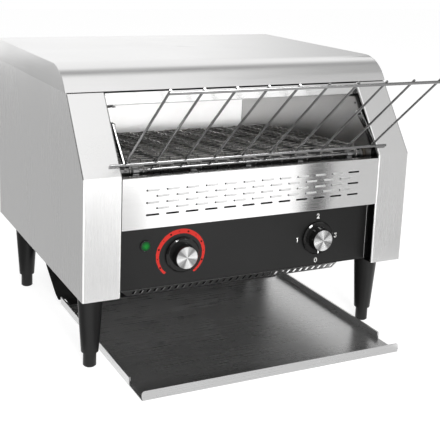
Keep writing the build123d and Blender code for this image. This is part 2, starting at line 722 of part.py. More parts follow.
def cheek(side):
    """Inner side wall of the chamber and the drop shaft, with inward flanges and all its holes."""
    wall = both((CHEEK_IN, CHEEK_OUT), side)
    lip = both((CHEEK_IN - FLANGE, CHEEK_IN), side)
    start = (SLANT[1] * CHEEK_SETBACK, KINK_Z - SLANT[0] * CHEEK_SETBACK)
    front_top = (CHEEK_FRONT_D, start[1] + (CHEEK_FRONT_D - start[0]) * SLANT[1] / SLANT[0])
    roof = (start[0] + (CHAMBER_TOP_Z - start[1]) * SLANT[0] / SLANT[1], CHAMBER_TOP_Z)
    shield = SHIELD_Z - THIN
    outline = [
        (CHEEK_FRONT_D, shield),
        front_top,
        roof,
        (LINER_D - FIT, CHAMBER_TOP_Z),
        (LINER_D - FIT, SHELF_Z),
        (SHAFT_FRONT_D + FIT, SHELF_Z),
        (SHAFT_FRONT_D + FIT, shield),
    ]
    with BuildPart() as panel:
        with BuildSketch(Plane.YZ.offset(wall[0])):
            with BuildLine():
                Polyline(*[(FRONT + d, z) for d, z in outline], close=True)
            make_face()
        extrude(amount=THIN)
        block(lip, (SHIELD_FRONT_D, SHAFT_FRONT_D - LIP_GAP), (shield, SHIELD_Z - FIT))
        block(lip, (roof[0] + 2 * LIP_GAP, LINER_D - LIP_GAP), (CHAMBER_TOP_Z - THIN, CHAMBER_TOP_Z))
        for d, z in ((IDLER_D, IDLER_Z), (DRIVE_D, DRIVE_Z)):
            rod_x(wall, d, z, BUSH_R + FIT / 2, Mode.SUBTRACT)
        for d, z in UPPER_TUBES + LOWER_TUBES:
            rod_x(wall, d, z, CAP_NECK_R + FIT / 2, Mode.SUBTRACT)
        rod_x(wall, PEG_D, PEG_Z, PEG_R + SCREW_CLEARANCE, Mode.SUBTRACT)
        rod_x(wall, *FIXING_HOLE, FIXING_HOLE_R, Mode.SUBTRACT)
    return panel


left_cheek = cheek(-1)
right_cheek = cheek(1)
save("left_cheek", left_cheek)
save("right_cheek", right_cheek)

with BuildPart() as rear_liner:
    fold = [
        (LINER_D, CHAMBER_TOP_Z - 2 * THIN),
        (LINER_D, LINER_BEND_Z),
        (OUTLET_REAR_D + THIN, SHELF_Z + THIN),
    ]
    extrude(strip(fold, THIN, -INSIDE, [LINER_BEND_R]), amount=2 * INSIDE)
save("rear_liner", rear_liner)

with BuildPart() as upper_reflector:
    roof_z = (CHAMBER_TOP_Z + FIT, CHAMBER_TOP_Z + FIT + THIN)
    block((-INSIDE, INSIDE), (PILLAR_TOP[0] + 2 * LIP_GAP, LINER_D), roof_z)
save("upper_reflector", upper_reflector)

with BuildPart() as chute_slide:
    fold = [
        (OUTLET_REAR_D + FLANGE, BASE_UNDER - FIT),
        (OUTLET_REAR_D, BASE_UNDER - FIT),
        CHUTE_KNEE,
        (CHUTE_TOE_D, CHUTE_Z + THIN),
        (CHUTE_END_D, CHUTE_Z + THIN),
    ]
    section = strip(fold, THIN, -CHUTE_HALF, [CHUTE_HEM_R, CHUTE_KNEE_R, CHUTE_TOE_R])
    extrude(section, amount=2 * CHUTE_HALF)
    for side in (-1, 1):
        edge = both((TONGUE_HALF, CHUTE_HALF + 1), side)
        block(edge, (CHUTE_END_D - 1, TONGUE_D), (0, TRAY_WALL_Z), Mode.SUBTRACT)
save("chute_slide", chute_slide)

# ---------------------------------------------------------------- front panels
with BuildPart() as louvre_panel:
    face = (-CHEEK_OUT, CHEEK_OUT)
    block(face, (0, SHEET), (LOUVRE_BOTTOM_Z, LOUVRE_TOP_Z))
    block(face, (0, FLANGE), (LOUVRE_TOP_Z - SHEET, LOUVRE_TOP_Z))
    block(face, (0, FLANGE), (LOUVRE_BOTTOM_Z, LOUVRE_BOTTOM_Z + SHEET))
    for side in (-1, 1):
        wall = both((CHEEK_OUT - SHEET, CHEEK_OUT), side)
        block(wall, (0, FLANGE), (LOUVRE_BOTTOM_Z, LOUVRE_TOP_Z))
    with BuildSketch(front_plane(0)):
        for row in range(SLOT_ROWS):
            with Locations((0, SLOT_TOP_Z - row * SLOT_PITCH_Z)):
                with GridLocations(SLOT_PITCH_X, 0, SLOTS_IN_LONG_ROW - row % 2, 1):
                    SlotOverall(SLOT_LENGTH, SLOT_HEIGHT)
    extrude(amount=-SHEET, mode=Mode.SUBTRACT)
save("louvre_panel", louvre_panel)

PANEL_BOTTOM_Z = SHELF_Z
with BuildPart() as control_panel:
    face = (-CHEEK_OUT, CHEEK_OUT)
    block(face, (PANEL_D, PANEL_BACK_D), (PANEL_BOTTOM_Z, PANEL_TOP_Z))
    block(face, (PANEL_D, PANEL_D + FLANGE), (PANEL_TOP_Z - SHEET, PANEL_TOP_Z))
    block(face, (PANEL_D, PANEL_D + FLANGE), (PANEL_BOTTOM_Z, PANEL_BOTTOM_Z + SHEET))
    for side in (-1, 1):
        wall = both((CHEEK_OUT - SHEET, CHEEK_OUT), side)
        block(wall, (PANEL_D, PANEL_D + FLANGE), (PANEL_BOTTOM_Z, PANEL_TOP_Z))
    for x in (SPEED_X, SELECTOR_X):
        rod_y(x, (PANEL_D, PANEL_BACK_D), KNOB_Z, SPINDLE_R + FIT, Mode.SUBTRACT)
    rod_y(LAMP_X, (PANEL_D, PANEL_BACK_D), LAMP_Z, LAMP_BARREL_R + FIT, Mode.SUBTRACT)
save("control_panel", control_panel)

GUARD_Z = BASE_UNDER - FIT
with BuildPart() as lower_guard:
    fold = [
        (BASE_FRONT_D + GUARD_DROP, GUARD_Z - GUARD_DROP),
        (BASE_FRONT_D, GUARD_Z),
        (BASE_FRONT_D + GUARD_FLANGE, GUARD_Z),
    ]
    extrude(strip(fold, -THIN, -GUARD_LEFT), amount=GUARD_LEFT + GUARD_RIGHT)
    with BuildSketch(front_plane(0)):
        with BuildLine():
            Polyline(
                (-GUARD_LEFT - 1, GUARD_Z - THIN),
                (-GUARD_LEFT, GUARD_Z - THIN),
                (-GUARD_LEFT + GUARD_CORNER, GUARD_Z - GUARD_CORNER),
                (-GUARD_LEFT - 1, GUARD_Z - GUARD_CORNER),
                close=True,
            )
        make_face()
    extrude(amount=-(BASE_FRONT_D + GUARD_CORNER), mode=Mode.SUBTRACT)
    slope_middle = (
        (GUARD_RIGHT - GUARD_LEFT + GUARD_CORNER) / 2,
        FRONT + BASE_FRONT_D + (GUARD_DROP + THIN) / 2,
        GUARD_Z - (GUARD_DROP + THIN) / 2,
    )
    slope = Plane(origin=slope_middle, x_dir=(1, 0, 0), z_dir=(0, -1, -1))
    with Locations(slope.location):
        with GridLocations(GUARD_PITCH, 0, GUARD_SLOTS, 1):
            Box(GUARD_SLOT_WIDTH, GUARD_SLOT_LENGTH, 4 * THIN, mode=Mode.SUBTRACT)
save("lower_guard", lower_guard)

with BuildPart() as front_header:
    face = (-CHEEK_OUT, CHEEK_OUT)
    header_d = PILLAR_TOP[0]
    header_top = PILLAR_TOP[1] - HEADER_GAP
    block(face, (header_d, header_d + SHEET), (HEADER_BOTTOM_Z, header_top))
    block(face, (header_d, header_d + HEADER_FLANGE), (header_top - SHEET, header_top))
    block(face, (header_d, header_d + HEADER_HEM), (HEADER_BOTTOM_Z, HEADER_BOTTOM_Z + SHEET))
save("front_header", front_header)

# ---------------------------------------------------------------- heaters
for name, tubes in (("upper_heaters", UPPER_TUBES), ("lower_heaters", LOWER_TUBES)):
    with BuildPart() as heaters:
        for d, z in tubes:
            rod_x((-CAP_OUTER + CAP_END, CAP_OUTER - CAP_END), d, z, TUBE_R)
    save(name, heaters)

with BuildPart() as heater_caps:
    for d, z in UPPER_TUBES + LOWER_TUBES:
        for side in (-1, 1):
            rod_x(both((CHEEK_OUT + FIT, CAP_OUTER), side), d, z, CAP_R)
            rod_x(both((CAP_INNER, CHEEK_OUT + FIT), side), d, z, CAP_NECK_R)
            bore = both((CAP_INNER, CAP_OUTER - CAP_END), side)
            rod_x(bore, d, z, TUBE_R + TUBE_GAP, Mode.SUBTRACT)
save("heater_caps", heater_caps)

GUARD_WIRE_Z = UPPER_TUBE_Z - TUBE_R - GUARD_WIRE_GAP - GUARD_WIRE_R
with BuildPart() as heater_guard:
    first, last = UPPER_TUBES[0][0], UPPER_TUBES[-1][0]
    rod_z_low = GUARD_WIRE_Z - 2 * GUARD_WIRE_R + WELD
    for d in (first + GUARD_ROD_SETBACK, last - GUARD_ROD_SETBACK):
        rod_x((-INSIDE, INSIDE), d, rod_z_low, GUARD_WIRE_R)
    for x in spread(GUARD_WIRES, GUARD_WIRE_PITCH * (GUARD_WIRES - 1) / 2):
        rod_y(x, (first - GUARD_WIRE_REACH, last + GUARD_WIRE_REACH), GUARD_WIRE_Z, GUARD_WIRE_R)
save("heater_guard", heater_guard)

# ---------------------------------------------------------------- conveyor
AXES = [(IDLER_D, IDLER_Z), (DRIVE_D, DRIVE_Z)]
RUN = hypot(DRIVE_D - IDLER_D, DRIVE_Z - IDLER_Z)
RUN_WAY = ((DRIVE_D - IDLER_D) / RUN, (DRIVE_Z - IDLER_Z) / RUN)
BELT_PLANE = Plane(
    origin=(0, FRONT + (IDLER_D + DRIVE_D) / 2, (IDLER_Z + DRIVE_Z) / 2),
    x_dir=(1, 0, 0),
    z_dir=(0, -RUN_WAY[1], RUN_WAY[0]),
)
with BuildPart() as belt_runs:
    column_pitch = (2 * BELT_HALF - BELT_BAR) / BELT_COLUMNS
    row_pitch = (RUN - BELT_BAR) / BELT_ROWS
    for side in (-1, 1):
        with Locations(BELT_PLANE.offset(side * (BELT_R - BELT_THICKNESS / 2)).location):
            Box(2 * BELT_HALF, RUN, BELT_THICKNESS)
    with Locations(BELT_PLANE.location):
        with GridLocations(column_pitch, row_pitch, BELT_COLUMNS, BELT_ROWS):
            window = (column_pitch - BELT_BAR, row_pitch - BELT_BAR)
            Box(window[0], window[1], 3 * BELT_R, mode=Mode.SUBTRACT)
save("belt_runs", belt_runs)

with BuildPart() as belt_bends:
    for d, z in AXES:
        rod_x((-BELT_HALF, BELT_HALF), d, z, BELT_R)
    for d, z in AXES:
        rod_x((-BELT_HALF, BELT_HALF), d, z, BELT_INNER_R, Mode.SUBTRACT)
    with Locations(BELT_PLANE.location):
        Box(2 * BELT_HALF, RUN, 3 * BELT_R, mode=Mode.SUBTRACT)
    for side in (-1, 1):
        with Locations((BELT_PLANE * Location((0, side * (RUN / 2 + BELT_R / 2), 0)))):
            with GridLocations(column_pitch, 0, BELT_COLUMNS, 1):
                Box(column_pitch - BELT_BAR, BELT_R - BELT_BAR, BELT_R - BELT_BAR, mode=Mode.SUBTRACT)
save("belt_bends", belt_bends)

RAIL_TOP = BELT_INNER_R - FIT
with BuildPart() as belt_rails:
    for d in RAIL_ROD_D:
        rod_x((-INSIDE, INSIDE), d, belt_z(d), RAIL_ROD_R)
    for column in (-1, 0, 1):
        left = column * RAIL_PITCH - RAIL_THICKNESS / 2
        low = [(d, belt_z(d) + RAIL_TOP - RAIL_HEIGHT) for d in RAIL_ENDS]
        extrude(strip(low, RAIL_HEIGHT, left), amount=RAIL_THICKNESS)
        for d in RAIL_ROD_D:
            post = (d - RAIL_ROD_R, d + RAIL_ROD_R)
            block((left, left + RAIL_THICKNESS), post, (belt_z(d), belt_z(d) + RAIL_TOP - WELD))
save("belt_rails", belt_rails)


def toothed_wheel(x, depth, z, radius, width, notches, bore):
    """Sprocket: a disc with rounded notches round its rim and a bore."""
    rod_x((x - width / 2, x + width / 2), depth, z, radius)
    for notch in range(notches):
        angle = radians(360 * notch / notches)
        place = (depth + radius * cos(angle), z + radius * sin(angle))
        rod_x((x - width, x + width), place[0], place[1], radius * NOTCH_SHARE, Mode.SUBTRACT)
    rod_x((x - width, x + width), depth, z, bore, Mode.SUBTRACT)


for name, (d, z), right_end in (
    ("idler_shaft", AXES[0], IDLER_END_X),
    ("drive_shaft", AXES[1], SHAFT_END_X),
):
    with BuildPart() as shaft:
        rod_x((-IDLER_END_X, right_end), d, z, SHAFT_R)
        for side in (-1, 1):
            collar = (BUSH_INNER - FIT - COLLAR_WIDTH, BUSH_INNER - FIT)
            rod_x(both(collar, side), d, z, COLLAR_R)
    save(name, shaft)

for name, (d, z) in (("idler_sprockets", AXES[0]), ("drive_sprockets", AXES[1])):
    with BuildPart() as wheels:
        for x in spread(SPROCKETS, SPROCKET_PITCH * (SPROCKETS - 1) / 2):
            toothed_wheel(x, d, z, SPROCKET_R, SPROCKET_WIDTH, SPROCKET_NOTCHES, SHAFT_R + KEYED)
    save(name, wheels)

with BuildPart() as shaft_bushes:
    for d, z in AXES:
        for side in (-1, 1):
            rod_x(both((BUSH_INNER, BUSH_OUTER), side), d, z, BUSH_R)
            rod_x(both((BUSH_INNER, CHEEK_IN - FIT), side), d, z, BUSH_FLANGE_R)
            bore = both((BUSH_INNER - 1, BUSH_OUTER + 1), side)
            rod_x(bore, d, z, SHAFT_R + RUNNING, Mode.SUBTRACT)
save("shaft_bushes", shaft_bushes)

# ---------------------------------------------------------------- chain drive
MOTOR_AXIS = (MOTOR_D, MOTOR_Z)
with BuildPart() as chain_sprocket:
    toothed_wheel(CHAIN_X, DRIVE_D, DRIVE_Z, DRIVE_SPROCKET_R, CHAIN_WIDTH, DRIVE_TEETH, SHAFT_R + KEYED)
save("chain_sprocket", chain_sprocket)

with BuildPart() as motor_sprocket:
    bore_r = MOTOR_SHAFT_R + KEYED
    toothed_wheel(CHAIN_X, MOTOR_D, MOTOR_Z, MOTOR_SPROCKET_R, CHAIN_WIDTH, MOTOR_TEETH, bore_r)
save("motor_sprocket", motor_sprocket)

with BuildPart() as motor_shaft:
    inner_end = GEARBOX_X[0] + GEARBOX_WALL + SPINDLE_END
    rod_x((inner_end, SHAFT_END_X), MOTOR_D, MOTOR_Z, MOTOR_SHAFT_R)
save("motor_shaft", motor_shaft)

with BuildPart() as drive_chain:
    start = CHAIN_X - CHAIN_WIDTH / 2
    radii = (DRIVE_SPROCKET_R + CHAIN_GAP, MOTOR_SPROCKET_R + CHAIN_GAP)
    ends = [AXES[1], MOTOR_AXIS]
    outside = loop_section(ends, [r + CHAIN_DEPTH for r in radii], start)
    extrude(outside, amount=CHAIN_WIDTH)
    extrude(loop_section(ends, radii, start), amount=CHAIN_WIDTH, mode=Mode.SUBTRACT)
save("drive_chain", drive_chain)

with BuildPart() as drive_motor:
    block(GEARBOX_X, span(MOTOR_D, GEARBOX_SIDE), span(MOTOR_Z, GEARBOX_SIDE))
    rod_x(MOTOR_X, MOTOR_D, MOTOR_Z, MOTOR_R)
    bore = (GEARBOX_X[0] + GEARBOX_WALL, GEARBOX_X[1])
    rod_x(bore, MOTOR_D, MOTOR_Z, MOTOR_SHAFT_R + RUNNING, Mode.SUBTRACT)
save("drive_motor", drive_motor)

with BuildPart() as motor_bracket:
    reach = span(MOTOR_D, GEARBOX_SIDE)
    block(BRACKET_X, reach, (SHELF_Z, MOTOR_Z + GEARBOX_SIDE / 2))
    block((BRACKET_X[0], CHEEK_OUT + BRACKET_FOOT), reach, (SHELF_Z, SHELF_Z + BRACKET_SHEET))
    rod_x(BRACKET_X, MOTOR_D, MOTOR_Z, BRACKET_HOLE_R, Mode.SUBTRACT)
save("motor_bracket", motor_bracket)

# ---------------------------------------------------------------- cooling fan
FAN_Z = (SHELF_Z, SHELF_Z + FAN_HEIGHT)
with BuildPart() as fan_frame:
    block(span(FAN_X, FAN_SIDE), span(FAN_D, FAN_SIDE), FAN_Z)
    rod_z(FAN_X, FAN_D, FAN_Z, FAN_BORE_R, Mode.SUBTRACT)
    for angle in (45, 135):
        with Locations(Location((FAN_X, FRONT + FAN_D, FAN_Z[0] + FAN_SPIDER / 2), (0, 0, angle))):
            Box(2 * (FAN_BORE_R + FAN_SPIDER / 2), FAN_SPOKE, FAN_SPIDER)
    rod_z(FAN_X, FAN_D, (FAN_Z[0], FAN_Z[0] + FAN_SPIDER), FAN_HUB_R)
    rod_z(FAN_X, FAN_D, (FAN_Z[0], FAN_Z[0] + FAN_PIN_H), FAN_PIN_R)
save("fan_frame", fan_frame)

with BuildPart() as fan_rotor:
    hub = (FAN_Z[0] + FAN_SPIDER + FIT, FAN_Z[1] - THIN)
    rod_z(FAN_X, FAN_D, hub, FAN_HUB_R)
    blade_length = FAN_TIP_R - FAN_HUB_R + FAN_BLADE_SHEET
    for blade in range(FAN_BLADES):
        turn = Location((FAN_X, FRONT + FAN_D, (hub[0] + hub[1]) / 2), (0, 0, 360 * blade / FAN_BLADES))
        lean = Location((FAN_TIP_R - blade_length / 2, 0, 0), (FAN_BLADE_ANGLE, 0, 0))
        with Locations(turn * lean):
            Box(blade_length, FAN_BLADE_CHORD, FAN_BLADE_SHEET)
    pin = (hub[0] - THIN, FAN_Z[0] + FAN_PIN_H + FIT)
    rod_z(FAN_X, FAN_D, pin, FAN_PIN_R + RUNNING, Mode.SUBTRACT)
save("fan_rotor", fan_rotor)

# ---------------------------------------------------------------- controls
SWITCH_D = PANEL_BACK_D + FIT
KNOB_BACK_D = PANEL_D - KNOB_GAP
KNOB_GRIP_D = KNOB_BACK_D - KNOB_SKIRT_H
KNOB_FACE_D = KNOB_GRIP_D - KNOB_GRIP_H
SPINDLE_D = (KNOB_FACE_D + KNOB_FACE + SPINDLE_END, SWITCH_D + SPINDLE_REAR)

with BuildPart() as selector_switch:
    switch_d = (SWITCH_D, SWITCH_D + SWITCH_LENGTH)
    block(span(SELECTOR_X, SWITCH_SIDE), switch_d, span(KNOB_Z, SWITCH_SIDE))
    bore = (SWITCH_D, SPINDLE_D[1] + SPINDLE_END)
    rod_y(SELECTOR_X, bore, KNOB_Z, SPINDLE_R + RUNNING, Mode.SUBTRACT)
    for x in spread(3, SWITCH_TAG_PITCH):
        tag_d = (switch_d[1], switch_d[1] + SWITCH_TAG[1])
        block(span(SELECTOR_X + x, SWITCH_TAG[0]), tag_d, span(KNOB_Z, SWITCH_TAG[2]))
save("selector_switch", selector_switch)

with BuildPart() as speed_control:
    rod_y(SPEED_X, (SWITCH_D, SWITCH_D + CONTROL_LENGTH), KNOB_Z, CONTROL_R)
    tag_d = (SWITCH_D + 2 * CONTROL_TAG[1], SWITCH_D + 3 * CONTROL_TAG[1])
    block(span(SPEED_X, CONTROL_TAG[0]), tag_d, (KNOB_Z - CONTROL_TAG[2], KNOB_Z))
    rod_y(SPEED_X, bore, KNOB_Z, SPINDLE_R + RUNNING, Mode.SUBTRACT)
save("speed_control", speed_control)


def knob(x):
    """Round knob: bevelled skirt, tapered fluted grip and a blind bore for the spindle."""
    with BuildPart() as body:
        rod_y(x, (KNOB_GRIP_D, KNOB_BACK_D), KNOB_Z, KNOB_SKIRT_R)
        chamfer(body.edges().sort_by(Axis.Y)[0], KNOB_BEVEL)
        middle = (x, FRONT + KNOB_FACE_D + KNOB_GRIP_H / 2, KNOB_Z)
        with Locations(Location(middle, (90, 0, 0))):
            Cone(KNOB_GRIP_R, KNOB_GRIP_TIP_R, KNOB_GRIP_H)
        for flute in range(KNOB_FLUTES):
            angle = radians(360 * flute / KNOB_FLUTES)
            place = (x + KNOB_GRIP_R * cos(angle), KNOB_Z + KNOB_GRIP_R * sin(angle))
            rod_y(place[0], (KNOB_FACE_D, KNOB_GRIP_D), place[1], KNOB_FLUTE_R, Mode.SUBTRACT)
        bore = (KNOB_FACE_D + KNOB_FACE, KNOB_BACK_D)
        rod_y(x, bore, KNOB_Z, SPINDLE_R + KEYED, Mode.SUBTRACT)
    return body


def knob_cap(x):
    """Thin metal disc with a bevelled rim on the face of a knob."""
    with BuildPart() as disc:
        rod_y(x, (KNOB_FACE_D - KEYED - KNOB_CAP_H, KNOB_FACE_D - KEYED), KNOB_Z, KNOB_CAP_R)
        chamfer(disc.edges().sort_by(Axis.Y)[0], KNOB_CAP_BEVEL)
    return disc


for name, x in (("speed", SPEED_X), ("selector", SELECTOR_X)):
    save(f"{name}_knob", knob(x))
    save(f"{name}_knob_cap", knob_cap(x))
    with BuildPart() as spindle:
        rod_y(x, SPINDLE_D, KNOB_Z, SPINDLE_R)
    save(f"{name}_spindle", spindle)

LENS_SEAT_D = PANEL_D + LENS_DEPTH
with BuildPart() as lamp_bezel:
    rod_y(LAMP_X, (LAMP_FACE_D, PANEL_D - FIT), LAMP_Z, LAMP_FLANGE_R)
    rod_y(LAMP_X, (PANEL_D - FIT, PANEL_D + LAMP_BARREL_LENGTH), LAMP_Z, LAMP_BARREL_R)
    rod_y(LAMP_X, (LAMP_FACE_D - THIN, LENS_SEAT_D), LAMP_Z, LAMP_LENS_R + LAMP_GAP, Mode.SUBTRACT)
save("lamp_bezel", lamp_bezel)

with BuildPart() as lamp_lens:
    dome_r = (LAMP_LENS_R**2 + LENS_DOME_H**2) / (2 * LENS_DOME_H)
    tip_d = LAMP_FACE_D - LENS_DOME_H
    with Locations((LAMP_X, FRONT + tip_d + dome_r, LAMP_Z)):
        Sphere(dome_r)
    rod_y(LAMP_X, (tip_d - THIN, LENS_SEAT_D - LAMP_GAP), LAMP_Z, LAMP_LENS_R, Mode.INTERSECT)
save("lamp_lens", lamp_lens)

# ---------------------------------------------------------------- wiring pieces
with BuildPart() as terminal_block:
    middle = (TERMINAL_AT[0], SHAFT_FRONT_D + TERMINAL_AT[1])
    height = (SHELF_Z, SHELF_Z + TERMINAL_SIZE[2])
    block(span(middle[0], TERMINAL_SIZE[0]), span(middle[1], TERMINAL_SIZE[1]), height)
    with Locations((middle[0], FRONT + middle[1], height[1])):
        with GridLocations(*TERMINAL_PITCH, *TERMINAL_GRID):
            Cylinder(TERMINAL_HOLE_R, 2 * TERMINAL_HOLE_DEPTH, mode=Mode.SUBTRACT)
save("terminal_block", terminal_block)

BOARD_Z = SHELF_Z + BOARD_LIFT
BOARD_TOP = BOARD_Z + BOARD_SIZE[2]
with BuildPart() as control_board:
    block(span(BOARD_AT[0], BOARD_SIZE[0]), span(BOARD_AT[1], BOARD_SIZE[1]), (BOARD_Z, BOARD_TOP))
    posts = (BOARD_SIZE[0] - 2 * BOARD_POST_INSET, BOARD_SIZE[1] - 2 * BOARD_POST_INSET)
    with Locations((BOARD_AT[0], FRONT + BOARD_AT[1], SHELF_Z + BOARD_LIFT / 2)):
        with GridLocations(*posts, 2, 2):
            Cylinder(BOARD_POST_R, BOARD_LIFT)
    for size, offset in ((COIL_SIZE, COIL_OFFSET), (RELAY_SIZE, RELAY_OFFSET)):
        middle = (BOARD_AT[0] + offset[0], BOARD_AT[1] + offset[1])
        block(span(middle[0], size[0]), span(middle[1], size[1]), (BOARD_TOP, BOARD_TOP + size[2]))
    can = (BOARD_AT[0] + CAN_OFFSET[0], BOARD_AT[1] + CAN_OFFSET[1])
    rod_z(*can, (BOARD_TOP, BOARD_TOP + CAN_H), CAN_R)
save("control_board", control_board)

with BuildPart() as cable_gland:
    with BuildSketch(front_plane(BODY_REAR + FIT)):
        with Locations((GLAND_X, GLAND_Z)):
            RegularPolygon(GLAND_NUT_R, 6)
    extrude(amount=-(DEPTH + GLAND_NUT_H - BODY_REAR - FIT))
    with Locations(Location((GLAND_X, FRONT + GLAND_TIP_D - GLAND_DOME_H / 2, GLAND_Z), (-90, 0, 0))):
        Cone(*GLAND_DOME_R, GLAND_DOME_H)
    thread = (REAR_FRONT_D - GLAND_THREAD_REACH, BODY_REAR + FIT)
    rod_y(GLAND_X, thread, GLAND_Z, GLAND_THREAD_R)
    with BuildSketch(front_plane(REAR_FRONT_D - FIT)):
        with Locations((GLAND_X, GLAND_Z)):
            RegularPolygon(GLAND_NUT_R, 6)
    extrude(amount=GLAND_LOCKNUT_H)
    rod_y(GLAND_X, (thread[0] - THIN, GLAND_TIP_D + THIN), GLAND_Z, GLAND_BORE_R, Mode.SUBTRACT)
save("cable_gland", cable_gland)

# ---------------------------------------------------------------- legs and feet
for row, leg_d in (("front", LEG_D[0]), ("rear", LEG_D[1])):
    for hand, leg_x in (("left", -LEG_X), ("right", LEG_X)):
        with BuildPart() as leg:
            cone_top = LEG_TOP_Z - LEG_FLANGE_H
            cone_bottom = FOOT_H + FIT
            with Locations((leg_x, FRONT + leg_d, (cone_top + cone_bottom) / 2)):
                Cone(LEG_BOTTOM_R, LEG_TOP_R, cone_top - cone_bottom)
            rod_z(leg_x, leg_d, (cone_top, LEG_TOP_Z), LEG_FLANGE_R)
            rod_z(leg_x, leg_d, (LEG_TOP_Z, LEG_TOP_Z + LEG_STUD_H), FOOT_STUD_R)
            bore = (cone_bottom, FOOT_H + FOOT_STUD_H + FOOT_STUD_GAP)
            rod_z(leg_x, leg_d, bore, FOOT_STUD_R + RUNNING, Mode.SUBTRACT)
        save(f"{row}_{hand}_leg", leg)
        with BuildPart() as foot:
            rod_z(leg_x, leg_d, (0, FOOT_H), FOOT_R)
            chamfer(foot.edges().sort_by(Axis.Z)[0], FOOT_CHAMFER)
            rod_z(leg_x, leg_d, (FOOT_H, FOOT_H + FOOT_STUD_H), FOOT_STUD_R)
        save(f"{row}_{hand}_foot", foot)

# ---------------------------------------------------------------- tray
with BuildPart() as tray:
    floor = (TRAY_FLOOR_Z, TRAY_FLOOR_Z + THIN)
    block((-TRAY_HALF, TRAY_HALF), (TRAY_FRONT_D, TRAY_REAR_D), floor)
    with BuildSketch(front_plane(TRAY_FRONT_D)):
        lip_middle = (TRAY_FLOOR_Z + TRAY_LIP_Z) / 2
        with Locations((0, lip_middle)):
            lip = Rectangle(2 * TRAY_HALF, TRAY_LIP_Z - TRAY_FLOOR_Z)
        fillet(lip.vertices().group_by(Axis.Z)[-1], TRAY_CORNER_R)
    extrude(amount=-THIN)
    for side in (-1, 1):
        along = (TRAY_WALL_FRONT_D, TRAY_REAR_D)
        outer = both((TRAY_HALF - THIN, TRAY_HALF), side)
        hem = both((TRAY_HALF - TRAY_HEM, TRAY_HALF), side)
        inner = both((TRAY_HALF - TRAY_HEM, TRAY_HALF - TRAY_HEM + THIN), side)
        block(outer, along, (TRAY_FLOOR_Z, TRAY_WALL_Z))
        block(hem, along, (TRAY_WALL_Z - THIN, TRAY_WALL_Z))
        block(inner, along, (TRAY_WALL_Z - TRAY_HEM_DROP, TRAY_WALL_Z))
        for end in (TRAY_FRONT_D + TRAY_FOOT_INSET, TRAY_REAR_D - TRAY_FOOT_INSET):
            rod_z(side * (TRAY_HALF - TRAY_FOOT_INSET), end, (0, TRAY_FLOOR_Z), TRAY_FOOT_R)
save("tray", tray)

# ---------------------------------------------------------------- feed rack


def on_rack(along, inwards):
    """Point on the rack as (depth, z): a distance up from its foot rod and one off its plane."""
    return (
        RACK_FOOT[0] + RACK_UP[0] * along + RACK_IN[0] * inwards,
        RACK_FOOT[1] + RACK_UP[1] * along + RACK_IN[1] * inwards,
    )


with BuildPart() as feed_rack:
    rod_x((-RACK_ROD_HALF, RACK_ROD_HALF), *on_rack(0, 0), ROD_R)
    rod_x((-RACK_TOP_HALF, RACK_TOP_HALF), *on_rack(RACK_LENGTH, 0), ROD_R)
    rod_x((-RACK_LOW_HALF, RACK_LOW_HALF), *on_rack(-RACK_LOW_OFFSET, 0), ROD_R)
    for wire in range(RACK_WIRES):
        x = RACK_WIRE_SPAN * (wire / (RACK_WIRES - 1) - 0.5)
        reach = WIRE_R if wire in (0, RACK_WIRES - 1) else RACK_LOW_OFFSET + WIRE_R
        slanted_rod(x, on_rack(-reach, WIRE_LIFT), on_rack(RACK_LENGTH + RACK_TIP, WIRE_LIFT), WIRE_R)
    for side in (-1, 1):
        bar = both(STAY_X, side)
        ends = [(PEG_D, PEG_Z), on_rack(0, 0)]
        extrude(loop_section(ends, (STAY_EYE_R, STAY_END_R), bar[0]), amount=bar[1] - bar[0])
        rod_x(bar, PEG_D, PEG_Z, PEG_R + RUNNING, Mode.SUBTRACT)
save("feed_rack", feed_rack)

PEG_HEAD_X = STAY_X[0] - FIT
with BuildPart() as rack_pegs:
    for side in (-1, 1):
        rod_x(both((PEG_HEAD_X, PILLAR_INNER + SHEET + PEG_END), side), PEG_D, PEG_Z, PEG_R)
        rod_x(both((PEG_HEAD_X - PEG_HEAD_H, PEG_HEAD_X), side), PEG_D, PEG_Z, PEG_HEAD_R)
        nut = (PILLAR_INNER + SHEET + FIT, PILLAR_INNER + SHEET + FIT + PEG_NUT_H)
        rod_x(both(nut, side), PEG_D, PEG_Z, PEG_NUT_R)
save("rack_pegs", rack_pegs)

# ---------------------------------------------------------------- screws
with BuildPart() as cover_screws:
    for points, seat in ((REAR_SCREWS_TOP, DEPTH), (REAR_SCREWS_BASE, BODY_REAR)):
        for x, z in points:
            rod_y(x, (seat + SCREW_GAP, seat + SCREW_GAP + SCREW_HEAD_H), z, SCREW_HEAD_R)
            rod_y(x, (seat - SCREW_LENGTH, seat + SCREW_GAP), z, SCREW_R)
save("cover_screws", cover_screws)
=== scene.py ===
"""Looks of the conveyor toaster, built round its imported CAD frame."""

from math import cos, hypot, pi, radians, sin

import bmesh
import bpy
from mathutils import Matrix, Vector


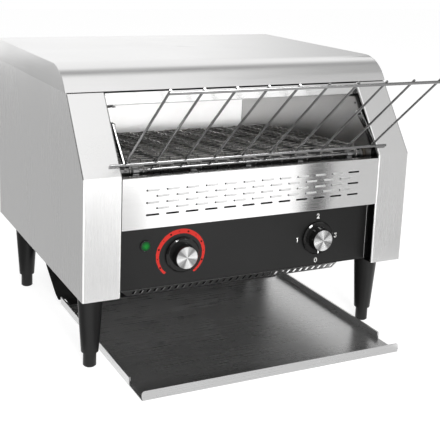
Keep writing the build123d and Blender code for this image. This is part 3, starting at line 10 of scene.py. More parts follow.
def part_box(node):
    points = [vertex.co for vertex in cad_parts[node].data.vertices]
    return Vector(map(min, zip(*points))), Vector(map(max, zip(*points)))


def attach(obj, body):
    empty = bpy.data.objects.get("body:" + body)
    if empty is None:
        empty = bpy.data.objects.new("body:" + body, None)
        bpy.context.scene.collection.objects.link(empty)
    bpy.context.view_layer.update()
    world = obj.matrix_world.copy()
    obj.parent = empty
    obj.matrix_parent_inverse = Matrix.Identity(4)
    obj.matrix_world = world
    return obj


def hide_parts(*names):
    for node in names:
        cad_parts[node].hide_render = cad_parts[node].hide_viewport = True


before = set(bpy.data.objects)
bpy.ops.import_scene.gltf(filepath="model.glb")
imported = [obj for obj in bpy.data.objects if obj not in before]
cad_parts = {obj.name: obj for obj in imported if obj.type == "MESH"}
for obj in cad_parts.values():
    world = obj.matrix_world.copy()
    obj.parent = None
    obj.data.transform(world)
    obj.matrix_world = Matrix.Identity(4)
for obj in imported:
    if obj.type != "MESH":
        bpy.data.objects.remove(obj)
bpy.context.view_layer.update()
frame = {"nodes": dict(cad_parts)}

MM = 0.001
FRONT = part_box("left_side_panel")[0].y


def at(x, depth, z):
    """Point from millimetres: across, behind the casing's front plane, and above the table."""
    return Vector((x * MM, FRONT + depth * MM, z * MM))


def middle(node):
    """Centre of a CAD node's box."""
    low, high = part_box(node)
    return (low + high) / 2


# ---------------------------------------------------------------- camera
PICTURE = 440
FOCAL = 915.0
PRINCIPAL = (192.0, 142.0)
CAMERA_AT = (-575.55, -1000.66, 537.03)
YAW = radians(25.5202)
PITCH = radians(12.1259)
ROLL = radians(1.8392)
SENSOR = 36.0
CLIP = (0.01, 50)


def make_camera():
    """Camera at the viewing angle of the product shot."""
    data = bpy.data.cameras.new("camera")
    camera = bpy.data.objects.new("camera", data)
    bpy.context.scene.collection.objects.link(camera)
    forward = Vector((sin(YAW) * cos(PITCH), cos(YAW) * cos(PITCH), -sin(PITCH)))
    level = Vector((cos(YAW), -sin(YAW), 0))
    upright = level.cross(forward)
    right = cos(ROLL) * level + sin(ROLL) * upright
    up = cos(ROLL) * upright - sin(ROLL) * level
    turn = Matrix((right, up, -forward)).transposed()
    camera.matrix_world = Matrix.Translation(at(*CAMERA_AT)) @ turn.to_4x4()
    data.sensor_fit = "HORIZONTAL"
    data.sensor_width = SENSOR
    data.lens = FOCAL / PICTURE * SENSOR
    data.shift_x = (PICTURE / 2 - PRINCIPAL[0]) / PICTURE
    data.shift_y = (PRINCIPAL[1] - PICTURE / 2) / PICTURE
    data.clip_start, data.clip_end = CLIP
    bpy.context.scene.camera = camera


make_camera()
bpy.context.scene.view_settings.view_transform = "Standard"


# ---------------------------------------------------------------- shader helpers
class Tree:
    """Node tree of a material or a world, and short calls for its nodes."""

    def __init__(self, owner):
        owner.use_nodes = True
        self.tree = owner.node_tree

    def node(self, kind, values=None, **settings):
        """New node with its settings, and its inputs by name or number."""
        made = self.tree.nodes.new(kind)
        for setting, value in settings.items():
            setattr(made, setting, value)
        for socket, value in (values or {}).items():
            self.feed(made.inputs[socket], value)
        return made

    def feed(self, socket, value):
        """Links another node's output to a socket, or writes a plain value on it."""
        if isinstance(value, bpy.types.NodeSocket):
            self.tree.links.new(value, socket)
        else:
            socket.default_value = value

    def maths(self, operation, a, b=0.0):
        """Sum, product or another operation on two values."""
        return self.node("ShaderNodeMath", {0: a, 1: b}, operation=operation).outputs[0]


class Shader(Tree):
    """One material: its Principled shader and the nodes that feed it."""

    def __init__(self, name, **sockets):
        self.material = bpy.data.materials.new(name)
        super().__init__(self.material)
        self.bsdf = self.tree.nodes["Principled BSDF"]
        for socket, value in sockets.items():
            self.bsdf.inputs[socket.replace("_", " ")].default_value = value

    def place(self, scale):
        """Object coordinates in metres, multiplied by a scale for each axis."""
        coordinates = self.node("ShaderNodeTexCoord").outputs["Object"]
        return self.node("ShaderNodeMapping", {"Vector": coordinates, "Scale": scale}).outputs[0]

    def noise(self, scale, detail=3.0, roughness=0.55, stretch=(1, 1, 1)):
        """Noise of a given number of waves to the metre, stretched along some axes."""
        vector = self.place(tuple(scale * s for s in stretch))
        values = {"Vector": vector, "Scale": 1.0, "Detail": detail, "Roughness": roughness}
        return self.node("ShaderNodeTexNoise", values).outputs["Fac"]

    def spread(self, value, low, high, start=0.3, end=0.7):
        """Maps a value from start..end to low..high."""
        values = {"Value": value, "From Min": start, "From Max": end, "To Min": low, "To Max": high}
        return self.node("ShaderNodeMapRange", values).outputs[0]

    def mix(self, factor, a, b):
        """Colour between a and b."""
        values = {"Factor": factor, 6: a, 7: b}
        return self.node("ShaderNodeMix", values, data_type="RGBA").outputs[2]

    def bump(self, height, distance, strength=1.0, normal=None):
        """Normal from a height, with the distance in metres."""
        values = {"Height": height, "Distance": distance, "Strength": strength}
        if normal is not None:
            values["Normal"] = normal
        return self.node("ShaderNodeBump", values).outputs["Normal"]

    def soft_edges(self, radius):
        """Normal that rolls over the edges by a radius in metres."""
        return self.node("ShaderNodeBevel", {"Radius": radius}, samples=4).outputs["Normal"]

    def along(self, origin=(0, 0, 0)):
        """The three object coordinates, counted from a point."""
        values = {0: self.node("ShaderNodeTexCoord").outputs["Object"], 1: tuple(origin)}
        shifted = self.node("ShaderNodeVectorMath", values, operation="SUBTRACT")
        return self.node("ShaderNodeSeparateXYZ", {0: shifted.outputs[0]}).outputs

    def distance(self, a, b):
        """Distance from an axis, out of the two coordinates across it."""
        squares = self.maths("ADD", self.maths("MULTIPLY", a, a), self.maths("MULTIPLY", b, b))
        return self.maths("SQRT", squares)

    def behind_front(self):
        """Metres behind the casing's front line, upright below and slanted beside the feed opening."""
        _, y, z = self.along(at(0, 0, OPENING_Z))
        lean = self.maths("MULTIPLY", self.maths("MAXIMUM", z, 0.0), PILLAR_SLOPE)
        return self.maths("SUBTRACT", y, lean)

    def colour(self, value):
        """Feeds the base colour."""
        self.feed(self.bsdf.inputs["Base Color"], value)

    def rough(self, value):
        """Feeds the roughness."""
        self.feed(self.bsdf.inputs["Roughness"], value)

    def normal(self, value):
        """Feeds the normal."""
        self.feed(self.bsdf.inputs["Normal"], value)


def grey(value, warmth=0.0):
    """Colour of a grey level, a little warmer or cooler."""
    return (value * (1 + warmth), value, value * (1 - warmth), 1)


# ---------------------------------------------------------------- materials
ALONG_X = (0.012, 1.0, 1.0)
ALONG_Z = (1.0, 1.0, 0.012)
BRUSH_LINES = 1500.0
SHEET_EDGE = 0.5 * MM
COAT_EDGE = 0.4 * MM

# The pillars beside the feed opening lean back from this height, by so much for each unit up.
OPENING_Z = 258
PILLAR_SLOPE = 0.69

# The side panels' returns and the rear panel between them lie nearer the middle than this.
RETURN_X = 189.2 * MM
# They are painted in shade, near black, from so far behind the front line, and the cheeks have a painted
# shade as far as this behind it.
RETURN_START = (1.2 * MM, 3 * MM)
FRONT_SHADE_END = (10 * MM, 15 * MM)

DIMPLE_MIDDLE = at(12, 262, 387)
DIMPLE_RADII = (9.35 * MM, 17 * MM)
DIMPLE_DEPTH = 1.2 * MM
CAP_RING = 0.6 * MM
LENS_RING = 1.1 * MM
# The lens's rim is painted in shade between these two radii.
LENS_SHADE_RIM = (1.5 * MM, 4.5 * MM)


def brushed_steel(
    name, base, roughness, stretch, depth=4e-6, contrast=1.0, dimple=False, painted_shade_returns=False
):
    """Brushed stainless sheet: fine lines one way, broad streaks, soft smudges and rolled edges.

    With dimple it has the lid's shallow dent; the last flag gives a painted shade, near black, between the
    side panels.
    """
    shader = Shader(name, Metallic=1.0)
    lines = shader.noise(BRUSH_LINES, 4, 0.7, stretch)
    streaks = shader.noise(160.0, 3, 0.6, stretch)
    smudges = shader.noise(9.0, 3, 0.5)
    low = base * (1 - 0.07 * contrast)
    high = base * (1 + 0.05 * contrast)
    tone = shader.mix(shader.spread(lines, 0, 1), grey(low, 0.004), grey(high, 0.002))
    banded = shader.mix(shader.spread(streaks, 0, 0.4 * contrast), tone, grey(base * 0.9, 0.003))
    cloudy = shader.mix(shader.spread(smudges, 0, 0.3), banded, grey(base * 0.93, 0.006))
    # Painted shade: near black on the returns and the rear panel between the side panels.
    if painted_shade_returns:
        across = shader.maths("ABSOLUTE", shader.along()[0])
        inside = shader.maths("LESS_THAN", across, RETURN_X)
        deep = shader.spread(shader.behind_front(), 0, 1, *RETURN_START)
        cloudy = shader.mix(shader.maths("MULTIPLY", inside, deep), cloudy, grey(0.03))
    shader.colour(cloudy)
    sheen = shader.spread(lines, roughness * 0.82, roughness * 1.15)
    shader.rough(shader.maths("ADD", sheen, shader.spread(smudges, -0.02, 0.035)))
    normal = shader.bump(lines, depth, 0.6, shader.soft_edges(SHEET_EDGE))
    if dimple:
        x, y, _ = shader.along(DIMPLE_MIDDLE)
        dish = shader.spread(shader.distance(x, y), 0.0, 1.0, *DIMPLE_RADII)
        normal = shader.bump(dish, DIMPLE_DEPTH, 0.5, normal)
    shader.normal(normal)
    return name, shader.material


def tray_sheet(name):
    """Satin steel of the tray: faint lines, slightly warm stains and fine scratches."""
    shader = Shader(name, Metallic=0.93)
    lines = shader.noise(900.0, 3, 0.6, ALONG_X)
    stains = shader.noise(16.0, 4, 0.6)
    scratches = shader.noise(420.0, 2, 0.5, (1.0, 0.03, 1.0))
    tone = shader.mix(shader.spread(lines, 0, 1), grey(0.62), grey(0.66))
    stained = shader.mix(shader.spread(stains, 0, 0.14), tone, grey(0.56, 0.012))
    shader.colour(shader.mix(shader.spread(scratches, 0, 0.15, 0.62, 0.75), stained, grey(0.7)))
    shader.rough(shader.maths("ADD", shader.spread(stains, 0.27, 0.285), shader.spread(lines, -0.01, 0.01)))
    shader.normal(shader.bump(lines, 6e-7, 0.5, shader.soft_edges(SHEET_EDGE)))
    return name, shader.material


def coated(name, base, roughness, grain=2200.0, depth=6e-6, gloss=0.3):
    """Powder-coated or moulded surface: fine orange-peel grain, slight dust and soft edges."""
    shader = Shader(name, Specular_IOR_Level=gloss)
    peel = shader.noise(grain, 3, 0.5)
    patches = shader.noise(14.0, 3, 0.5)
    shader.colour(shader.mix(shader.spread(patches, 0, 1), grey(base), grey(base * 1.25, 0.01)))
    shader.rough(shader.maths("ADD", shader.spread(peel, -0.04, 0.04), roughness))
    shader.normal(shader.bump(peel, depth, 0.5, shader.soft_edges(COAT_EDGE)))
    return name, shader.material


def plated(name, base, roughness, warmth=0.0, grain=500.0):
    """Plated or drawn metal: small changes of tone and roughness."""
    shader = Shader(name, Metallic=1.0)
    stain = shader.noise(grain, 3, 0.6)
    shader.colour(shader.mix(shader.spread(stain, 0, 1), grey(base * 0.86, warmth), grey(base, warmth)))
    shader.rough(shader.spread(stain, roughness * 0.8, roughness * 1.3))
    shader.normal(shader.bump(stain, 5e-6, 0.4, shader.soft_edges(COAT_EDGE)))
    return name, shader.material


def pale_sheet(name, base, roughness, metal, painted_front_shade=False):
    """Heat-dulled chamber sheet: part bright metal, part pale scale, with soft stains, and if asked a painted
    shade, near black, along its front.
    """
    shader = Shader(name, Metallic=metal)
    stains = shader.noise(22.0, 4, 0.6)
    lines = shader.noise(BRUSH_LINES, 3, 0.6, ALONG_X)
    tone = shader.mix(shader.spread(stains, 0, 0.6), grey(base, 0.003), grey(base * 0.88, 0.02))
    if painted_front_shade:
        # Painted shade: near black at the front edge, fading out behind it.
        front_shade = shader.spread(shader.behind_front(), 1, 0, *FRONT_SHADE_END)
        tone = shader.mix(front_shade, tone, grey(0.03, 0.02))
    shader.colour(tone)
    shader.rough(shader.maths("ADD", shader.spread(lines, -0.05, 0.05), roughness))
    shader.normal(shader.bump(lines, 3e-6, 0.5, shader.soft_edges(SHEET_EDGE)))
    return name, shader.material


def tinted(name, tint, roughness, gloss=0.5, grain=900.0):
    """Coloured print or plastic with a fine grain and slight fading."""
    shader = Shader(name, Specular_IOR_Level=gloss)
    faded = tuple(min(1.0, c * 1.12 + 0.002) for c in tint)
    grains = shader.noise(grain, 3, 0.5)
    shader.colour(shader.mix(shader.spread(grains, 0, 1), (*tint, 1), (*faded, 1)))
    shader.rough(shader.spread(grains, roughness * 0.85, roughness * 1.2))
    return name, shader.material


def spun_cap(name, axis, level):
    """Spun aluminium face: fine rings round the axis, and light and dark sectors across them as a painted
    reflection.
    """
    shader = Shader(name, Metallic=1.0, Anisotropic=0.7)
    x, _, z = shader.along(axis)
    away = shader.distance(x, z)
    # Painted reflection: sectors by angle that turn with the cap instead of staying with the lamps.
    angle = shader.maths("ARCTAN2", z, x)
    wide = shader.maths("SINE", shader.maths("ADD", shader.maths("MULTIPLY", angle, 4.0), 0.9))
    fine = shader.maths("SINE", shader.maths("ADD", shader.maths("MULTIPLY", angle, 11.0), 2.0))
    painted_sectors = shader.maths("ADD", wide, shader.maths("MULTIPLY", fine, 0.3))
    rings = shader.maths("SINE", shader.maths("MULTIPLY", away, 2 * pi / CAP_RING))
    tone = shader.spread(painted_sectors, 0, 1, -0.9, 0.9)
    shader.colour(shader.mix(tone, grey(0.26 * level), grey(0.85 * level)))
    shader.rough(shader.spread(rings, 0.2, 0.3, -1, 1))
    shader.normal(shader.bump(rings, 1.2e-5, 0.35))
    tangent = shader.node("ShaderNodeTangent", direction_type="RADIAL", axis="Y").outputs[0]
    shader.feed(shader.bsdf.inputs["Tangent"], tangent)
    return name, shader.material


def lens(name, axis):
    """Green lamp lens: clear moulded plastic with prism rings, their light and dark bands painted, and a
    painted shade on the rim.
    """
    shader = Shader(name, Roughness=0.12, Specular_IOR_Level=0.25)
    x, _, z = shader.along(axis)
    away = shader.distance(x, z)
    rings = shader.maths("SINE", shader.maths("MULTIPLY", away, 2 * pi / LENS_RING))
    # Painted shade: the rim darker; painted light and shade: the ring bands lighter and darker.
    rim = shader.spread(away, 0, 1, *LENS_SHADE_RIM)
    inner = shader.mix(shader.spread(rings, 0, 1, -1, 1), (0.0, 0.05, 0.004, 1), (0.0005, 0.11, 0.01, 1))
    shader.colour(shader.mix(rim, inner, (0.0, 0.03, 0.005, 1)))
    shader.normal(shader.bump(rings, 1.5e-4, 0.4))
    return name, shader.material


def quartz_glass(name):
    """Frosted quartz tube."""
    shader = Shader(name, Transmission_Weight=0.85, IOR=1.45)
    frost = shader.noise(700.0, 3, 0.6)
    shader.colour(shader.mix(shader.spread(frost, 0, 1), (0.93, 0.9, 0.86, 1), (0.82, 0.8, 0.78, 1)))
    shader.rough(shader.spread(frost, 0.2, 0.4))
    return name, shader.material


# Each look has its name, its tone and its roughness first, then what its kind of surface takes. The names
# are kept here, because a material in the frame can have the same one.
LOOKS = [
    brushed_steel("lid_steel", 0.88, 0.2, ALONG_X, 3e-6, 0.6, dimple=True),
    brushed_steel("front_steel", 0.93, 0.15, ALONG_X, 3e-6, 0.6),
    brushed_steel("guard_steel", 0.4, 0.3, ALONG_X, 3e-6, 0.6),
    brushed_steel("tongue_steel", 0.72, 0.3, ALONG_X),
    # The side sheet takes a painted shade between the side panels.
    brushed_steel("side_steel", 0.93, 0.24, ALONG_Z, 1.0e-6, 0.2, painted_shade_returns=True),
    pale_sheet("chamber_steel", 0.52, 0.3, 1.0),
    # The cheeks take a painted shade along their front edge.
    pale_sheet("cheek_steel", 0.44, 0.3, 1.0, painted_front_shade=True),
    pale_sheet("shield_steel", 0.12, 0.45, 1.0),
    pale_sheet("liner_steel", 0.98, 0.5, 0.0),
    tray_sheet("tray_steel"),
    coated("black_panel", 0.0035, 0.36, gloss=0.29),
    coated("slide_coat", 0.007, 0.45, gloss=0.2),
    coated("moulding", 0.003, 0.34, gloss=0.3),
    coated("gloss_black", 0.002, 0.1, 900.0, 2e-6, 0.26),
    # Near black that stands in for the shade behind the slots.
    coated("painted_shade_black", 0.003, 0.6, gloss=0.1),
    plated("bright_wire", 0.62, 0.12),
    # The rack's wire is the bright wire painted darker: a painted shade for the dark surroundings its wires
    # reflect.
    plated("rack_wire_painted_dark", 0.3, 0.1),
    plated("belt_wire", 0.4, 0.18, 0.02),
    plated("turned_steel", 0.4, 0.3),
    plated("bronze", 0.16, 0.4, 0.14),
    plated("dark_chain", 0.25, 0.4, 0.03),
    plated("galvanised", 0.5, 0.42, 0.0, 90.0),
    plated("coil_wire", 0.35, 0.4, 0.05),
    coated("ceramic", 0.75, 0.5),
    quartz_glass("quartz"),
    coated("pale_plastic", 0.55, 0.45),
    tinted("board", (0.02, 0.12, 0.04), 0.4),
    # The last number makes a shaded and a lit copy of one metal: the speed cap painted darker, the selector
    # cap lighter.
    spun_cap("speed_cap", middle("speed_knob_cap"), 0.86),
    spun_cap("selector_cap", middle("selector_knob_cap"), 1.17),
    lens("lens", middle("lamp_lens")),
    tinted("red_print", (0.22, 0.013, 0.01), 0.5, 0.1),
    tinted("dark_print", (0.004, 0.001, 0.001), 0.5, 0.1),
    tinted("white_print", (0.5, 0.5, 0.49), 0.5, 0.3),
]
MATERIALS = dict(LOOKS)

BLACK_GLOSS_PARTS = ["speed_knob", "selector_knob", "lamp_bezel"]
WORN_BY = {
    "moulding": frame["nodes"],
    "lid_steel": ["top_cover"],
    "side_steel": ["left_side_panel", "right_side_panel", "rear_panel"],
    "front_steel": ["louvre_panel", "front_header"],
    "guard_steel": ["lower_guard"],
    "chamber_steel": ["upper_reflector"],
    "cheek_steel": ["left_cheek", "right_cheek"],
    "shield_steel": ["heat_shield", "belt_rails"],
    "liner_steel": ["rear_liner"],
    "tray_steel": ["tray"],
    "black_panel": ["control_panel"],
    "slide_coat": ["base_plate", "chute_slide"],
    "gloss_black": BLACK_GLOSS_PARTS,
    "bright_wire": ["heater_guard", "rack_pegs"],
    "rack_wire_painted_dark": ["feed_rack"],
    "turned_steel": [
        "idler_shaft",
        "idler_sprockets",
        "drive_shaft",
        "drive_sprockets",
        "chain_sprocket",
        "motor_sprocket",
        "motor_shaft",
        "speed_spindle",
        "selector_spindle",
    ],
    "bronze": ["shaft_bushes"],
    "dark_chain": ["drive_chain"],
    "galvanised": ["motor_bracket"],
    "ceramic": ["heater_caps"],
    "quartz": ["upper_heaters", "lower_heaters"],
    "pale_plastic": ["selector_switch", "speed_control", "terminal_block"],
    "board": ["control_board"],
    "speed_cap": ["speed_knob_cap"],
    "selector_cap": ["selector_knob_cap"],
    "lens": ["lamp_lens"],
}


def paint(thing, material):
    """Gives an object one material."""
    thing.data.materials.clear()
    thing.data.materials.append(material)


# Every node is moulded black plastic first, and the rest of the table paints over that.
for look, nodes in WORN_BY.items():
    for node in nodes:
        paint(frame["nodes"][node], MATERIALS[look])


# ---------------------------------------------------------------- mesh helpers
class Soup:
    """Points and faces gathered from many small shapes, in metres."""

    def __init__(self):
        self.points = []
        self.faces = []

    def rings(self, rings):
        """Skin over rings of points that have the same count, closed at both ends."""
        start = len(self.points)
        count = len(rings[0])
        last = start + (len(rings) - 1) * count
        for ring in rings:
            self.points.extend(ring)
        for low in range(start, last, count):
            high = low + count
            for side in range(count):
                after = (side + 1) % count
                self.faces.append((low + side, low + after, high + after, high + side))
        self.faces.append(tuple(range(start + count - 1, start - 1, -1)))
        self.faces.append(tuple(range(last, last + count)))

    def tube(self, path, radius, sides=8):
        """Round wire along a path of points, with the same frame carried along it."""
        tangents = []
        for place in range(len(path)):
            before = path[max(place - 1, 0)]
            after = path[min(place + 1, len(path) - 1)]
            tangents.append((after - before).normalized())
        across = tangents[0].orthogonal().normalized()
        rings = []
        for point, tangent in zip(path, tangents):
            across = (across - tangent * across.dot(tangent)).normalized()
            upright = tangent.cross(across)
            ring = []
            for side in range(sides):
                angle = 2 * pi * side / sides
                ring.append(point + radius * (cos(angle) * across + sin(angle) * upright))
            rings.append(ring)
        self.rings(rings)

    def strip(self, edges, lift):
        """Flat print or sheet: pairs of points along its two edges, raised by a vector."""
        self.rings([[left, right, right + lift, left + lift] for left, right in edges])

    def lathe(self, profile, centre, across, upright, steps=24, shape=None):
        """Turned shape round an axis: profile of (radius, height), and a shape for each ring."""
        axis = across.cross(upright)
        rings = []
        for row, (radius, height) in enumerate(profile):
            ring = []
            for step in range(steps):
                angle = 2 * pi * step / steps
                reach = radius * (shape(row, angle) if shape else 1)
                ring.append(centre + reach * (cos(angle) * across + sin(angle) * upright) + axis * height)
            rings.append(ring)
        self.rings(rings)

    def piece(self, name, material, body, replaces=(), sharp=40):
        """The finished object, riding on its body."""
        data = bpy.data.meshes.new(name)
        data.from_pydata([tuple(point) for point in self.points], [], self.faces)
        work = bmesh.new()
        work.from_mesh(data)
        bmesh.ops.recalc_face_normals(work, faces=work.faces)
        work.to_mesh(data)
        work.free()
        data.shade_smooth()
        data.set_sharp_from_angle(angle=radians(sharp))
        made = bpy.data.objects.new(name, data)
        bpy.context.scene.collection.objects.link(made)
        data.materials.append(MATERIALS[material])
        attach(made, body)
        if replaces:
            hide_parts(*replaces)


X_WAY = Vector((1, 0, 0))
Y_WAY = Vector((0, 1, 0))
Z_WAY = Vector((0, 0, 1))

# ---------------------------------------------------------------- conveyor belt of flat-flex wire
IDLER = middle("idler_shaft")
DRIVE = middle("drive_shaft")
BELT_RUN = hypot(DRIVE.y - IDLER.y, DRIVE.z - IDLER.z)
BELT_ALONG = Vector((0, (DRIVE.y - IDLER.y) / BELT_RUN, (DRIVE.z - IDLER.z) / BELT_RUN))
BELT_OUT = Vector((0, -BELT_ALONG.z, BELT_ALONG.y))
BELT_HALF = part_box("belt_bends")[1].x - 1 * MM
BELT_WIRE_R = 0.95 * MM
BELT_LINE_R = 14.25 * MM
BELT_OVER = 1.5 * MM
STRANDS = 36
JOINT_PITCH = 40 * MM
JOINT_HALF = 7 * MM
JOINT_FLARE = 2.5 * MM
JOINT_REACH = 3 * MM

# A wire's rise over the next one, as shares of the pitch and of the lift, then the end of its hook, as
# shares of the flare, the reach and the lift.
JOINT_RISE = ((0.0, 0.0), (0.12, 0.2), (0.55, 0.55), (0.86, 0.95), (1.0, 1.0), (1.1, 0.85))
JOINT_HOOK = ((0.85, 0.8, 0.45), (0.45, 1.0, 0.3))


def belt_point(x, along, lift):
    """Point on the belt's loop: across, along it from the top of the idler, and above its wires."""
    bend = pi * BELT_LINE_R
    along %= 2 * (BELT_RUN + bend)
    reach = BELT_LINE_R + lift
    top = Vector((x, IDLER.y, IDLER.z))
    end = Vector((x, DRIVE.y, DRIVE.z))
    if along < BELT_RUN:
        return top + BELT_ALONG * along + BELT_OUT * reach
    if along < BELT_RUN + bend:
        turn = (along - BELT_RUN) / BELT_LINE_R
        return end + reach * (cos(turn) * BELT_OUT + sin(turn) * BELT_ALONG)
    if along < 2 * BELT_RUN + bend:
        return end - BELT_ALONG * (along - BELT_RUN - bend) - BELT_OUT * reach
    turn = (along - 2 * BELT_RUN - bend) / BELT_LINE_R
    return top - reach * (cos(turn) * BELT_OUT + sin(turn) * BELT_ALONG)


def belt_strand(start, pitch):
    """One wire across the belt, bent at each joint to hook over the next wire."""
    columns = int(BELT_HALF / JOINT_PITCH)
    outline = [(-BELT_HALF, 0.0, 0.0)]
    for column in range(-columns, columns + 1):
        x = column * JOINT_PITCH
        joint = []
        for share, lift in JOINT_RISE:
            joint.append((JOINT_HALF + JOINT_FLARE * share, pitch * share, BELT_OVER * lift))
        for flare, reach, lift in JOINT_HOOK:
            joint.append((JOINT_HALF + JOINT_FLARE * flare, pitch + JOINT_REACH * reach, BELT_OVER * lift))
        outline.extend((x - out, way, lift) for out, way, lift in joint)
        outline.extend((x + out, way, lift) for out, way, lift in reversed(joint))
    outline.append((BELT_HALF, 0.0, 0.0))
    return [belt_point(x, start + way, lift) for x, way, lift in outline]


belt = Soup()
belt_pitch = 2 * (BELT_RUN + pi * BELT_LINE_R) / STRANDS
for strand in range(STRANDS):
    belt.tube(belt_strand(strand * belt_pitch, belt_pitch), BELT_WIRE_R)
belt.piece("belt_mesh", "belt_wire", "casing", ("belt_runs", "belt_bends"), sharp=60)

# ---------------------------------------------------------------- pressed tongues behind the slots
SLOT_TOP = 241.4
SLOT_PITCH = (27.0, 7.85)
SLOTS_IN_ROW = 12
TONGUE_ROWS = 4
TONGUES_IN_ROW = 11
TONGUE_HALF_HEIGHT = 1.14
TONGUE_START = 8.9
TONGUE_LENGTH = 15.2
TONGUE_BACK = 0.16
TONGUE_DIP = 0.9
TONGUE_CURVE = 1.6
TONGUE_STEPS = 8
TONGUE_SHEET = 0.8

tongues = Soup()
for row in range(TONGUE_ROWS):
    slots = SLOTS_IN_ROW - row % 2
    z = SLOT_TOP - row * SLOT_PITCH[1]
    for slot in range(TONGUES_IN_ROW):
        x = (slot - (slots - 1) / 2) * SLOT_PITCH[0]
        edges = []
        for step in range(TONGUE_STEPS + 1):
            share = step / TONGUE_STEPS
            depth = TONGUE_BACK + TONGUE_DIP * share**TONGUE_CURVE
            place = x + TONGUE_START - TONGUE_LENGTH * share
            edges.append((at(place, depth, z - TONGUE_HALF_HEIGHT), at(place, depth, z + TONGUE_HALF_HEIGHT)))
        tongues.strip(edges, Y_WAY * TONGUE_SHEET * MM)
tongues.piece("louvre_tongues", "tongue_steel", "casing")

# ---------------------------------------------------------------- black sheet behind the slots: painted shade for the dark inside
SHADE_HALF = 163
SHADE_SHEET = 0.4
SHADE_FOLDS = ((4.4, 206.0), (2.2, 207.5), (2.2, 245.5), (4.4, 247.0))

shade = Soup()
folded = [(at(-SHADE_HALF, depth, z), at(SHADE_HALF, depth, z)) for depth, z in SHADE_FOLDS]
shade.strip(folded, Y_WAY * SHADE_SHEET * MM)
shade.piece("slot_painted_shade", "painted_shade_black", "casing")

# ---------------------------------------------------------------- prints on the control panel
PANEL_D = 17.0
PRINT = 0.06
PRINT_LIFT = Y_WAY * PRINT * MM
SPEED = middle("speed_knob")
SELECTOR = middle("selector_knob")
ARC_CENTRE = Vector((SPEED.x - 1.8 * MM, 0, SPEED.z - 0.6 * MM))
ARC_START = 226.0
ARC_END = -52.0
ARC_STEPS = 72
ARC_OUT = 35.0
ARC_WIDTH = 3.2
ARC_SWELL = 3.0
SWELL_REACH = 1.05
SWELL_POWER = 1.5
START_TAPER = (0.2, 2.2)
END_TAPER = (0.28, 2.8)
TAPER_POWER = 1.4


def panel_point(centre, radius, angle):
    """Point just in front of the control panel, round a knob's axis."""
    x = centre.x / MM + radius * cos(radians(angle))
    z = centre.z / MM + radius * sin(radians(angle))
    return at(x, PANEL_D - PRINT, z)


def taper(share, length, depth):
    """How far the speed scale is drawn in at a share of its length from one end."""
    return depth * max(0.0, (length - share) / length) ** TAPER_POWER


def scale_band(angle):
    """Outer and inner radius of the speed scale at an angle: widest at the top, drawn in at its ends."""
    share = (angle - ARC_START) / (ARC_END - ARC_START)
    outer = ARC_OUT - taper(1 - share, *END_TAPER) - taper(share, *START_TAPER)
    swell = max(0.0, sin(pi * min(1.0, share * SWELL_REACH))) ** SWELL_POWER
    return outer, outer - ARC_WIDTH - ARC_SWELL * swell


arc = Soup()
edges = []
for step in range(ARC_STEPS + 1):
    angle = ARC_START + (ARC_END - ARC_START) * step / ARC_STEPS
    outer, inner = scale_band(angle)
    edges.append((panel_point(ARC_CENTRE, outer, angle), panel_point(ARC_CENTRE, inner, angle)))
arc.strip(edges, PRINT_LIFT)
arc.piece("speed_scale", "red_print", "casing")

# Dots on the scale: every second one is smaller, and each is drawn from its way out and its half turn.
TICKS = 11
FIRST_TICK = 207
TICK_STEP = 22.5
TICK_HALVES = (1.25, 0.6)
TICK_OUTLINE = ((-1.0, 0.7), (-0.5, 1.75), (0.5, 1.75), (1.0, 0.7))

ticks = Soup()
for tick in range(TICKS):
    angle = FIRST_TICK - TICK_STEP * tick
    half = TICK_HALVES[tick % 2]
    middle_radius = sum(scale_band(angle)) / 2
    edges = []
    for way_out, half_turn in TICK_OUTLINE:
        radius = middle_radius + way_out * half
        left = panel_point(ARC_CENTRE, radius, angle + half_turn * half)
        right = panel_point(ARC_CENTRE, radius, angle - half_turn * half)
        edges.append((left - PRINT_LIFT, right - PRINT_LIFT))
    ticks.strip(edges, PRINT_LIFT)
ticks.piece("speed_ticks", "dark_print", "casing")

# Numbers of the selector: the line of each digit, and its place from the knob's axis.
DIGITS = {
    0: [
        (-1.3, 1.4), (-1.3, 3.6), (-0.7, 4.7), (0.7, 4.7), (1.3, 3.6),
        (1.3, 1.4), (0.7, 0.3), (-0.7, 0.3), (-1.3, 1.4),
    ],
    1: [(-0.9, 3.9), (0.1, 4.8), (0.1, 0.2)],
    2: [(-1.3, 3.8), (-0.7, 4.7), (0.7, 4.7), (1.3, 3.8), (1.2, 2.9), (-1.3, 0.3), (1.4, 0.3)],
    3: [(-1.3, 4.7), (1.2, 4.7), (0.0, 2.8), (0.9, 2.6), (1.4, 1.6), (0.9, 0.5), (-0.2, 0.2), (-1.3, 0.8)],
}
DIGIT_PLACES = {0: (0.0, -36.0), 1: (-31.5, -3.2), 2: (0.0, 27.5), 3: (30.5, -3.2)}
DIGIT_SCALE = 1.3
STROKE = 1.0
STROKE_END = 0.4


def stroke(soup, points):
    """Flat line of even width through points given as (x, z) on the control panel."""
    for (x0, z0), (x1, z1) in zip(points, points[1:]):
        length = hypot(x1 - x0, z1 - z0)
        along = ((x1 - x0) / length, (z1 - z0) / length)
        side = (-along[1] * STROKE / 2, along[0] * STROKE / 2)
        edges = []
        for x, z, way in ((x0, z0, -1), (x1, z1, 1)):
            end_x = x + along[0] * way * STROKE_END
            end_z = z + along[1] * way * STROKE_END
            left = at(end_x - side[0], PANEL_D - PRINT, end_z - side[1])
            right = at(end_x + side[0], PANEL_D - PRINT, end_z + side[1])
            edges.append((left, right))
        soup.strip(edges, PRINT_LIFT)


